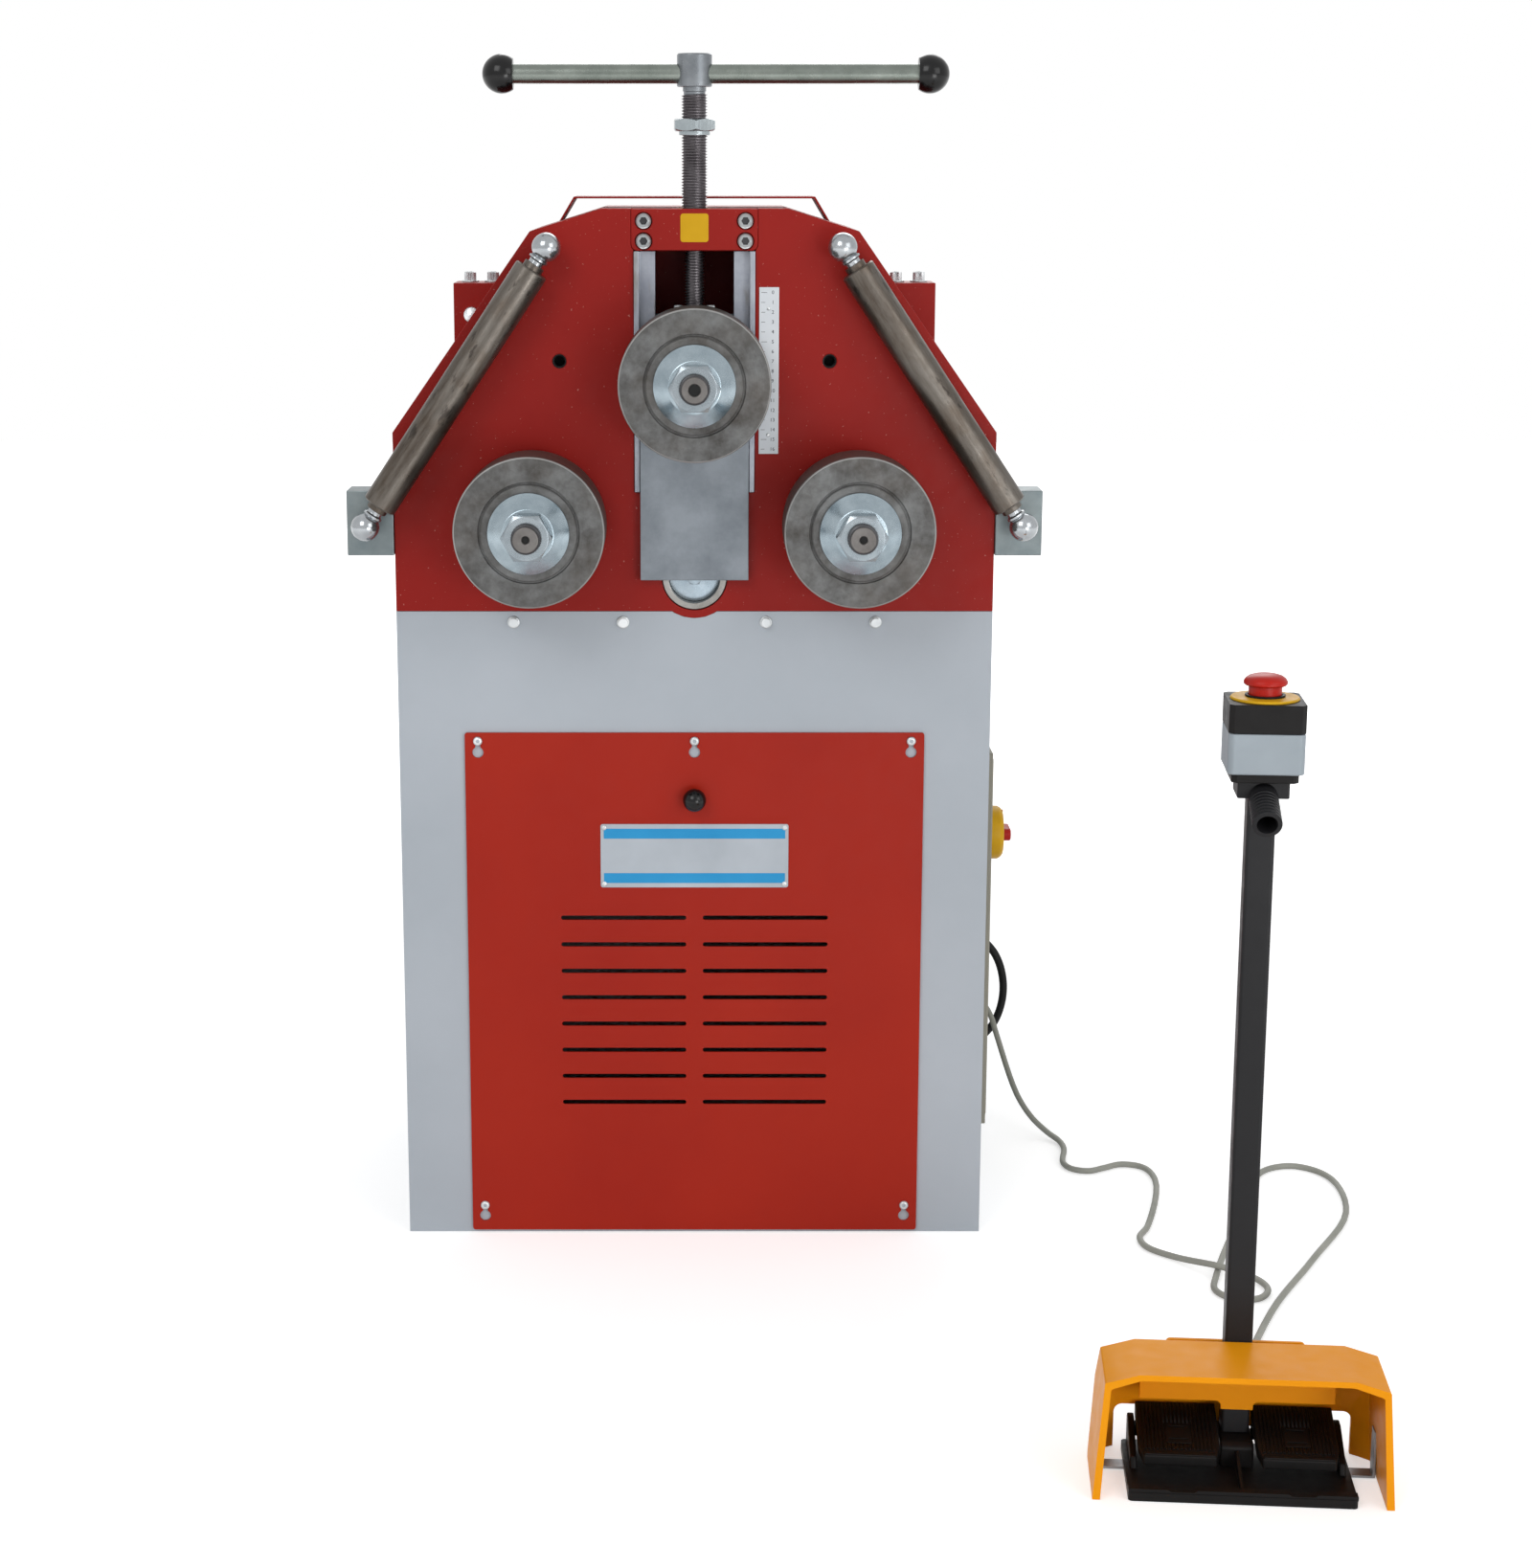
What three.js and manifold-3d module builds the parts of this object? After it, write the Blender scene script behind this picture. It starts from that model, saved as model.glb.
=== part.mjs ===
// Ring roller: a three-roller section bending machine on its cabinet, with a foot-pedal unit.
// Millimetres, +X right, +Y back, +Z up. The origin is the centre of the cabinet's base on the floor.

import * as THREE from 'three';
import { ConvexGeometry } from 'three/addons/geometries/ConvexGeometry.js';
import { mergeVertices } from 'three/addons/utils/BufferGeometryUtils.js';
import Module from 'manifold-3d';

const wasm = await Module();
wasm.setup();

// Clearances and cutting overrun
const seatGap = 0.3;
const runGap = 0.5;
const overrun = 2;

// Facets of round pieces
const wheelSides = 24;
const rodSides = 20;
const smallSides = 10;
const ballSides = 12;
const ballRings = 8;
const cornerSteps = 3;

// Cabinet
const cabinetWidth = 634;
const cabinetDepth = 500;
const cabinetHeight = 698;
const cabinetSheet = 3;
const windowLap = 36;
const wellMargin = 12;

// Service panel, its keyholes, slots and knob
const panelWidth = 493;
const panelHeight = 564;
const panelLift = 3;
const panelSheet = 2.5;
const keySideInset = 14;
const keyTopInset = 9;
const keyBottomInset = 29;
const keyDrop = 12.5;
const keyHoleRadius = 6;
const keyShankRadius = 2.2;
const keyHeadRadius = 4.5;
const keyHeadThick = 2.2;
const ventWidth = 5;
const ventLength = 136;
const ventSpacing = 30;
const ventBottom = 152;
const ventRows = 8;
const ventMullion = 18;
const knobRadius = 12.5;
const knobReach = 25;
const knobHeight = 495.7;
const knobShares = [[0.5, 0], [0.5, 0.25], [0.9, 0.33], [1, 0.5], [0.9, 0.8], [0.5, 1]];

// Head plates and casing, with heights above the cabinet's top
const headDepth = 235;
const frontPlateThick = 45;
const rearPlateThick = 25;
const shoulderHeight = 189.5;
const slopeTopHalf = 170.5;
const slopeTopHeight = 397;
const crownHalf = 97;
const crownHeight = 420;
const lobeRadius = 43;
const tapRadius = 7;
const tapDepth = 32;
const tapSpacing = 282;
const tapHeight = 263.7;
const casingSheet = 3;
const lugInset = 56;
const lugTop = 339;
const lugFront = 130;
const lugDepth = 60;

// Top guard, a bent strip across the casing
const guardSheet = 2;
const guardHalf = 127;
const guardFootHalf = 148;
const guardRise = 11.5;
const guardFront = 60;
const guardDepth = 80;

// Slide channel, rails and crossbar
const channelHalf = 63.3;
const channelBottom = 127;
const crossbarHalf = 65.7;
const crossbarHeight = 42.7;
const crossbarCorner = 7;
const railWidth = 5.7;
const railProud = 4;
const railLedge = 16.3;
const railStep = 12;
const stripWidth = 20.6;
const stripThick = 1;
const stripOffset = 67.3;
const stripTop = 340;
const stripLength = 172.6;

// Slide block, measured from the upper roller's centre
const upperHeight = 245;
const apronThick = 11;
const apronGap = 1;
const apronDrop = 210;
const slideRise = 42;
const slideDrop = 44;
const neckRise = 65;
const neckFront = 2;
const retainerThick = 6;
const retainerHalf = 24;
const retainerDepth = 26;
const keeperThick = 14;
const sleeveRadius = 26;
const sleeveInset = 4;

// Adjusting screw, with heights above the upper roller's centre
const screwDepth = 22;
const collarBottom = 55;
const collarThick = 6;
const collarRadius = 15;
const screwNeckRadius = 10.2;
const threadBottom = 132;
const threadTop = 291;
const threadRadius = 13.5;
const hubNeckRadius = 12;
const hubBottom = 297;
const hubTop = 331;
const hubRadius = 18;
const screwNutRadius = 18;
const lockNutFlats = 41;
const lockNutThick = 12.6;
const lockNutBoss = 4;
const lockNutBossRadius = 16;
const lockNutDrop = 31.4;

// Tommy bar
const barRadius = 10;
const barDrop = 20.3;
const barBallRadius = 20;
const barBallSpacing = 438;
const barShift = 22;
const barSocket = 12;

// Rollers with their shafts, washers and nuts
const rollerSpacing = 339.8;
const lowerHeight = 95.4;
const rollerRadius = 78;
const rollerWidth = 75;
const rollerStandoff = 20;
const rollerChamfer = 1.5;
const hubRingRadius = 50;
const hubRingProud = 3;
const hubRingGroove = 2;
const seatRadius = 20;
const flangeRadius = 30;
const threadEndRadius = 15;
const threadEndReach = 54;
const threadEndChamfer = 2;
const centreHoleRadius = 3.7;
const centreHoleDepth = 8;
const washerRadius = 42;
const washerRim = 3;
const washerThick = 18;
const washerTopRadius = 27;
const clampNutFlats = 46;
const clampNutThick = 24;
const bushRadius = 30;
const bushFlangeRadius = 38;
const bushFlangeThick = 6;
const shaftCollarRadius = 28;
const shaftCollarThick = 8;

// Gear train between the plates
const pinionHeight = 36;
const pinionTeeth = 20;
const gearTeeth = 40;
const gearFront = 70;
const gearWidth = 30;
const gearBacklash = 0.6;
const gearHubRadius = 32;
const rearJournalRadius = 15;
const journalProud = 5;
const pressureAngle = Math.PI / 9;
const addendumShare = 1;
const dedendumShare = 1.25;

// Pinion shaft and its front bearing
const bearingRadius = 34.4;
const bearingBore = 27.7;
const bearingRecess = 1;
const pinionJournalRadius = 26.8;
const endWasherRecess = 12;
const endBoltRadius = 9;
const endBoltThick = 6;
const pinionTailRadius = 20;

// Drive unit and its cover behind the head
const reducerHalf = 62;
const reducerDepth = 96;
const reducerStandoff = 15;
const reducerFlangeRadius = 58;
const reducerRise = 60;
const reducerDrop = 62;
const motorRadius = 58;
const motorLength = 236;
const motorCapRadius = 48;
const motorCapLength = 22;
const tailLength = 60;
const coverSheet = 3;
const coverHalf = 150;
const coverDepth = 190;
const coverHeight = 152;
const coverBevelHeight = 50;
const coverBevelDepth = 60;

// Side rolls, their balls and blocks
const rollUpperInset = 18.5;
const rollUpperHeight = 381.5;
const rollLowerOut = 27.2;
const rollLowerHeight = 93.7;
const rollStandoff = 30;
const rollRadius = 18;
const rollEndGap = 20.7;
const rollNeckRadius = 11;
const rollNeckLength = 6;
const rollBallRadius = 15;
const axleRadius = 8;
const axleGap = 0.5;
const studRadius = 8;
const sideBlockWidth = 49.2;
const sideBlockBottom = 60.5;
const sideBlockHeight = 68.5;
const sideBlockProud = 5;
const sideBlockDepth = 46;

// Electrical enclosure and main switch on the right side, from the front unless named otherwise
const enclosureReach = 20;
const enclosureFront = 150;
const enclosureBackInset = 100;
const enclosureBottom = 74;
const enclosureHeight = 439;
const enclosureSheet = 2;
const switchDepth = 230;
const switchHeight = 403;
const switchBaseRadius = 31;
const switchBaseThick = 20;
const switchRimChamfer = 5;
const switchWellRadius = 22;
const switchWellDepth = 7;
const handleLength = 40;
const handleWidth = 15;
const handleReach = 9;

// Cable fittings and the short loop cable
const glandBackInset = 75;
const glandHeight = 140;
const glandRadius = 9.5;
const glandBodyLength = 9;
const glandNoseRadius = 6;
const glandReach = 24.7;
const loopBackInset = 45;
const loopTop = 225;
const loopBottom = 70;
const loopBulge = 72;
const loopRadius = 5;
const loopFittingRadius = 9;
const loopFittingLength = 16;
const loopSteps = 16;
const loopBulgeShare = 0.83;
const loopDropShare = 0.4;

// Control cable, chosen route on the floor from the gland to the pedal base
const cableRadius = 3.5;
const cableSides = 8;
const cableSteps = 78;
const cableRoute = [
  [342.3, 175, 140], [351, 175, 139.6], [362, 173, 135], [370, 167, 123], [376, 155, 104], [397, 104, 43],
  [413, 79, 21], [430, 60, 8.5], [442, 40, 4.4], [445, 14, 3.8], [438, -38, 3.5], [446, -58, 3.5],
  [464, -65, 3.5], [483, -55, 3.5], [506, -42, 3.5], [529, -51, 3.5], [538, -94, 3.5],
  [506, -244, 3.5], [492, -278, 3.5], [496, -308, 3.7], [522, -338, 4.2], [562, -381, 10.8],
  [582, -389, 7], [600, -405, 4.2], [604, -430, 3.8], [590, -452, 3.6], [564, -452, 3.5], [549, -430, 3.5],
  [557, -388, 3.5], [620, -198, 3.5], [660, -80, 3.5], [682, -55, 3.5], [707, -48, 3.5],
  [730, -62, 3.5], [745, -96, 3.5], [737, -202, 3.5], [668, -346, 3.5], [596, -488, 3.8],
  [514, -720, 4.2], [505.7, -805.9, 10],
];

// Pedal unit: place on the floor, base and treadles
const pedalX = 486.5;
const pedalFront = -915;
const pedalTurn = -4.8;
const baseHalf = 101;
const baseLength = 110;
const baseThick = 8;
const lipHeight = 11.5;
const lipLength = 10;
const ridgeHalf = 15;
const ridgeFront = 60;
const ridgeHeight = 31;
const treadleWidth = 72;
const treadleGap = 2;
const treadleFront = 43;
const treadleRear = 109;
const treadleFrontLow = 18;
const treadleFrontHigh = 28;
const treadleRearLow = 31;
const treadleRearHigh = 43;
const hingeY = 100;
const hingeZ = 24;
const hingeBarrelRadius = 7;
const hingePinRadius = 3;
const earGap = 1.5;
const earThick = 6;
const earLength = 16;

// Hood over the treadles: half widths and heights at its front, bend, knee and rear
const hoodSheet = 5.5;
const hoodFootHalf = 135;
const hoodShoulderHalf = 124.5;
const hoodShoulderHeight = 111;
const hoodTopHalf = 94;
const hoodTopHeight = 120;
const hoodBend = 81;
const hoodKnee = 103;
const hoodKneeFootHalf = 133.5;
const hoodKneeHalf = 127;
const hoodKneeHeight = 76;
const hoodKneeTop = 82;
const hoodLength = 118;
const hoodRearFootHalf = 115;
const hoodRearHalf = 113;
const hoodRearHeight = 48;
const hoodRearTop = 54;
const hoodMiterShare = 0.58;
const hoodCrownShare = 0.25;
const hoodRearOpening = 42;
const hoodTabHalf = 20;
const hoodTabBottom = 24;
const bracketHalf = 63;
const bracketThick = 4;
const bracketBottom = 66;
const bracketTop = 117;
const strapSheet = 2.5;
const strapFront = 62;
const strapWidth = 16;
const strapLift = 0.4;
const strapHeight = 45;

// Stand pole with its clamp and tube, and the stop button on top
const poleWidth = 25;
const poleWall = 2;
const poleY = 95;
const poleTop = 640;
const clampHalf = 22.5;
const clampDepth = 40;
const clampHeight = 15;
const tubeRadius = 13;
const tubeBore = 9;
const tubeLength = 45;
const tubeBoreDepth = 36;
const tubeSlope = 22;
const stopHalf = 33;
const stopChamfer = 4;
const stopFlangeHalf = 29;
const stopFlangeHeight = 8;
const stopBoxHeight = 36;
const stopLidHeight = 25;
const stopRingRadius = 30;
const stopRingThick = 2.5;
const stopStemRadius = 11;
const stopStemLength = 24;
const stopCapRadius = 19;
const stopCapGap = 9;
const stopCapThick = 11;
const stopCapShares = [[0.9, 0], [1, 0.33], [0.85, 0.8], [0.5, 1]];

// Values worked out from the driving dimensions
const frontY = -cabinetDepth / 2;
const lugHalf = cabinetWidth / 2 - lugInset;
const rollUpperHalf = slopeTopHalf - rollUpperInset;
const rollLowerHalf = cabinetWidth / 2 + rollLowerOut;
const enclosureDepth = cabinetDepth - enclosureFront - enclosureBackInset;
const glandDepth = cabinetDepth - glandBackInset;
const loopDepth = cabinetDepth - loopBackInset;
const pinionToRoller = Math.hypot(rollerSpacing / 2, lowerHeight - pinionHeight);
const gearModule = (2 * pinionToRoller) / (pinionTeeth + gearTeeth);
const gearTipRadius = (gearModule * gearTeeth) / 2 + gearModule * addendumShare;
const pinionTipRadius = (gearModule * pinionTeeth) / 2 + gearModule * addendumShare;
const rearPlateFront = headDepth - rearPlateThick;
const crossbarTop = crownHeight - seatGap;
const crossbarBottom = crossbarTop - crossbarHeight;
const hubRingFace = -rollerStandoff - rollerWidth - hubRingProud;
const shaftEnd = hubRingFace - threadEndReach;

// Colours and surfaces
const finishes = {
  redPaint: { color: 0xb3262a, roughness: 0.42, metalness: 0 },
  cabinetPaint: { color: 0xaeb3bb, roughness: 0.5, metalness: 0 },
  enclosurePaint: { color: 0xcfc9b4, roughness: 0.5, metalness: 0 },
  groundSteel: { color: 0x9a9a98, roughness: 0.4, metalness: 1 },
  zinc: { color: 0xc9d0d3, roughness: 0.25, metalness: 1 },
  darkSteel: { color: 0x55504a, roughness: 0.45, metalness: 1 },
  castIron: { color: 0x5b5d60, roughness: 0.7, metalness: 0.4 },
  bronze: { color: 0xa5793c, roughness: 0.4, metalness: 1 },
  chrome: { color: 0xe2e4e6, roughness: 0.12, metalness: 1 },
  blackPlastic: { color: 0x151515, roughness: 0.5, metalness: 0 },
  blackBall: { color: 0x0c0c0d, roughness: 0.15, metalness: 0 },
  whiteStrip: { color: 0xe9eef2, roughness: 0.4, metalness: 0 },
  yellowPlastic: { color: 0xe8b81c, roughness: 0.4, metalness: 0 },
  redPlastic: { color: 0xc42318, roughness: 0.35, metalness: 0 },
  orangePaint: { color: 0xe78a12, roughness: 0.4, metalness: 0 },
  blackPaint: { color: 0x1c1c1e, roughness: 0.5, metalness: 0 },
  lightPlastic: { color: 0xc3c6cb, roughness: 0.5, metalness: 0 },
  greyCable: { color: 0x8f9088, roughness: 0.55, metalness: 0 },
};

// Closed geometry to a solid: shared vertices merged, flat triangles dropped, faces pointing out
function toSolid(body) {
  if (!body.isBufferGeometry) return body;
  const bare = body.clone();
  bare.deleteAttribute('normal');
  bare.deleteAttribute('uv');
  const merged = mergeVertices(bare);
  const corners = merged.getAttribute('position').array;
  const triangles = [];
  for (let i = 0; i < merged.index.count; i += 3) {
    const [a, b, c] = merged.index.array.slice(i, i + 3);
    if (a !== b && b !== c && c !== a) triangles.push([a, b, c]);
  }
  const point = (i) => new THREE.Vector3().fromArray(corners, i * 3);
  const volume = triangles.reduce((sum, [a, b, c]) => sum + point(a).dot(point(b).cross(point(c))), 0);
  const facing = volume < 0 ? triangles.map(([a, b, c]) => [a, c, b]) : triangles;
  return new wasm.Manifold(new wasm.Mesh({
    numProp: 3,
    vertProperties: new Float32Array(corners),
    triVerts: new Uint32Array(facing.flat()),
  }));
}

function toGeometry(solid) {
  const mesh = solid.getMesh();
  const geometry = new THREE.BufferGeometry();
  geometry.setAttribute('position', new THREE.BufferAttribute(new Float32Array(mesh.vertProperties), 3));
  geometry.setIndex(new THREE.BufferAttribute(new Uint32Array(mesh.triVerts), 1));
  geometry.computeVertexNormals();
  return geometry;
}

function join(first, ...others) {
  return others.reduce((whole, piece) => whole.add(toSolid(piece)), toSolid(first));
}

function cut(body, ...tools) {
  return tools.reduce((rest, tool) => rest.subtract(toSolid(tool)), toSolid(body));
}

function piece(name, body, finish) {
  const material = new THREE.MeshStandardMaterial(finishes[finish]);
  const mesh = new THREE.Mesh(toGeometry(toSolid(body)), material);
  mesh.name = name;
  return mesh;
}

// Box from its lowest to its highest corner
function block(x0, x1, y0, y1, z0, z1) {
  const geometry = new THREE.BoxGeometry(x1 - x0, y1 - y0, z1 - z0);
  return geometry.translate((x0 + x1) / 2, (y0 + y1) / 2, (z0 + z1) / 2);
}

function outline(points) {
  return new THREE.Shape(points.map(([across, up]) => new THREE.Vector2(across, up)));
}

function extruded(points, length) {
  return new THREE.ExtrudeGeometry(outline(points), { depth: length, bevelEnabled: false });
}

// Outline in X and Z as seen from the front, filling y0 to y1
function frontPlate(points, y0, y1) {
  return extruded(points, y1 - y0).rotateX(Math.PI / 2).translate(0, y1, 0);
}

// Outline in X and Y as seen from above, filling z0 to z1
function floorPlate(points, z0, z1) {
  return extruded(points, z1 - z0).translate(0, 0, z0);
}

// Outline in Y and Z as seen from the side, filling x0 to x1
function sidePlate(points, x0, x1) {
  const turn = new THREE.Matrix4().makeBasis(
    new THREE.Vector3(0, 1, 0), new THREE.Vector3(0, 0, 1), new THREE.Vector3(1, 0, 0));
  return extruded(points, x1 - x0).applyMatrix4(turn).translate(x0, 0, 0);
}

// Solid of revolution: profile of radius and distance along the axis x, y or z
function turned(profile, axis, sides = rodSides) {
  const closed = [...profile, profile[0]].map(([radius, along]) => new THREE.Vector2(radius, along));
  const geometry = new THREE.LatheGeometry(closed, sides);
  if (axis === 'x') geometry.rotateZ(-Math.PI / 2);
  if (axis === 'z') geometry.rotateX(Math.PI / 2);
  return geometry;
}

function rod(axis, radius, from, to, sides = rodSides) {
  return turned([[0, from], [radius, from], [radius, to], [0, to]], axis, sides);
}

function ring(axis, inner, outer, from, to, sides = rodSides) {
  return turned([[inner, from], [outer, from], [outer, to], [inner, to]], axis, sides);
}

function polygon(sides, radius, turn = 0) {
  return Array.from({ length: sides }, (_, i) => {
    const angle = turn + (i * 2 * Math.PI) / sides;
    return [radius * Math.cos(angle), radius * Math.sin(angle)];
  });
}

function hexagon(acrossFlats, turn = 0) {
  return polygon(6, acrossFlats / Math.sqrt(3), turn);
}

function chamferedSquare(half, chamfer) {
  const flat = half - chamfer;
  return [[-flat, -half], [flat, -half], [half, -flat], [half, flat],
    [flat, half], [-flat, half], [-half, flat], [-half, -flat]];
}

// Anticlockwise outline moved inwards by a distance, or outwards by a negative one
function inset(points, distance) {
  return points.map((corner, i) => {
    const at = new THREE.Vector2(...corner);
    const before = at.clone().sub(new THREE.Vector2(...points.at(i - 1))).normalize();
    const after = new THREE.Vector2(...points[(i + 1) % points.length]).sub(at).normalize();
    const inward = new THREE.Vector2(-before.y - after.y, before.x + after.x).normalize();
    const reach = distance / inward.dot(new THREE.Vector2(-after.y, after.x));
    return at.addScaledVector(inward, reach).toArray();
  });
}

// Closed outline of a strip that follows a bent line with its thickness on the line's left
function ribbon(points, thickness) {
  const sides = points.map((corner, i) => {
    const at = new THREE.Vector2(...corner);
    const last = points.length - 1;
    const along = (from) => new THREE.Vector2(...points[from + 1])
      .sub(new THREE.Vector2(...points[from])).normalize();
    const before = along(Math.max(i - 1, 0));
    const after = along(Math.min(i, last - 1));
    const left = new THREE.Vector2(-before.y - after.y, before.x + after.x).normalize();
    const reach = thickness / left.dot(new THREE.Vector2(-after.y, after.x));
    return at.addScaledVector(left, reach).toArray();
  });
  return [...points, ...sides.reverse()];
}

// Head outline above the cabinet's top, from a chosen bottom height
function headOutline(bottom) {
  const half = cabinetWidth / 2;
  return [
    [-half, bottom], [half, bottom], [half, shoulderHeight],
    [slopeTopHalf, slopeTopHeight], [crownHalf, crownHeight],
    [-crownHalf, crownHeight], [-slopeTopHalf, slopeTopHeight], [-half, shoulderHeight],
  ];
}

// Cabinet sheets, with the front notched for the head plate's lobe
function buildCabinet() {
  const half = cabinetWidth / 2;
  const depth = cabinetDepth / 2;
  const insideX = half - cabinetSheet - seatGap;
  const insideY = depth - cabinetSheet - seatGap;
  const lobe = rod('y', lobeRadius + seatGap, -depth - overrun,
    frontY + frontPlateThick + seatGap, wheelSides).translate(0, 0, cabinetHeight + pinionHeight);
  const windowCut = block(
    -panelWidth / 2 + windowLap, panelWidth / 2 - windowLap, -depth - overrun, -insideY,
    panelLift + windowLap, panelLift + panelHeight - windowLap);
  const frontBlank = block(-half, half, -depth, -depth + cabinetSheet, 0, cabinetHeight);
  const frontSheet = cut(frontBlank, lobe, windowCut);
  const keyScrews = keyPlaces().map(([x, z]) => {
    const face = -depth - seatGap - panelSheet - seatGap;
    return turned([
      [0, face - keyHeadThick], [keyHeadRadius, face - keyHeadThick], [keyHeadRadius, face],
      [keyShankRadius, face], [keyShankRadius, -depth + cabinetSheet / 2], [0, -depth + cabinetSheet / 2],
    ], 'y', smallSides).translate(x, 0, z);
  });
  const gearWells = [
    [-rollerSpacing / 2, gearTipRadius, lowerHeight], [0, pinionTipRadius, pinionHeight],
    [rollerSpacing / 2, gearTipRadius, lowerHeight],
  ].map(([centre, radius, height]) => {
    const chord = Math.sqrt(radius ** 2 - height ** 2) + wellMargin;
    return block(centre - chord, centre + chord,
      frontY + gearFront - wellMargin, frontY + gearFront + gearWidth + wellMargin,
      cabinetHeight - cabinetSheet - overrun, cabinetHeight + overrun);
  });
  const motorWell = block(
    -reducerHalf - wellMargin, reducerHalf + wellMargin, frontY + headDepth,
    frontY + headDepth + reducerStandoff + reducerDepth + wellMargin,
    cabinetHeight - cabinetSheet - overrun, cabinetHeight + overrun);
  const topSheet = block(-insideX, insideX, -insideY, insideY, cabinetHeight - cabinetSheet, cabinetHeight);

  const group = new THREE.Group();
  group.add(
    piece('cabinet_left_side', block(-half, -insideX - seatGap, -insideY, insideY, 0, cabinetHeight),
      'cabinetPaint'),
    piece('cabinet_right_side', block(insideX + seatGap, half, -insideY, insideY, 0, cabinetHeight),
      'cabinetPaint'),
    piece('cabinet_front', join(frontSheet, ...keyScrews), 'cabinetPaint'),
    piece('cabinet_back', block(-half, half, depth - cabinetSheet, depth, 0, cabinetHeight), 'cabinetPaint'),
    piece('cabinet_top', cut(topSheet, lobe, ...gearWells, motorWell), 'cabinetPaint'),
    piece('cabinet_base', block(-insideX, insideX, -insideY, insideY, 0, cabinetSheet), 'cabinetPaint'),
  );
  return group;
}

// Centres of the five screws that the service panel hangs on
function keyPlaces() {
  const side = panelWidth / 2 - keySideInset;
  const top = panelLift + panelHeight - keyTopInset;
  const bottom = panelLift + keyBottomInset;
  return [[-side, top], [0, top], [side, top], [-side, bottom], [side, bottom]];
}

// Keyhole: a round hole that passes the screw head, with a slot up to the screw's shank
function keyholeCut(x, z, y0, y1) {
  const slotHalf = keyShankRadius + seatGap;
  return join(
    rod('y', keyHoleRadius, y0, y1, smallSides).translate(x, 0, z - keyDrop),
    block(x - slotHalf, x + slotHalf, y0, y1, z - keyDrop, z),
    rod('y', slotHalf, y0, y1, smallSides).translate(x, 0, z),
  );
}

// Service panel with two columns of plain ventilation slots, and its knob
function buildServicePanel() {
  const back = frontY - seatGap;
  const front = back - panelSheet;
  const sheet = block(-panelWidth / 2, panelWidth / 2, front, back, panelLift, panelLift + panelHeight);
  const holes = keyPlaces().map(([x, z]) => keyholeCut(x, z, front - overrun, back + overrun));
  const slots = [];
  for (let row = 0; row < ventRows; row += 1) {
    for (const side of [-1, 1]) {
      const centre = side * (ventMullion + ventLength) / 2;
      const height = ventBottom + row * ventSpacing;
      const tip = ventLength / 2;
      const edge = ventWidth / 2;
      const slot = [
        [centre - tip, height], [centre - tip + edge, height - edge], [centre + tip - edge, height - edge],
        [centre + tip, height], [centre + tip - edge, height + edge], [centre - tip + edge, height + edge],
      ];
      slots.push(frontPlate(slot, front - overrun, back + overrun));
    }
  }
  const face = front - seatGap;
  const bulge = knobShares.map(([wide, out]) => [knobRadius * wide, face - knobReach * out]);
  const knob = turned([[0, face], ...bulge, [0, face - knobReach]], 'y');

  const group = new THREE.Group();
  group.add(
    piece('service_panel', cut(sheet, ...holes, ...slots), 'redPaint'),
    piece('panel_knob', knob.translate(0, 0, knobHeight), 'blackPlastic'),
  );
  return group;
}

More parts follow.
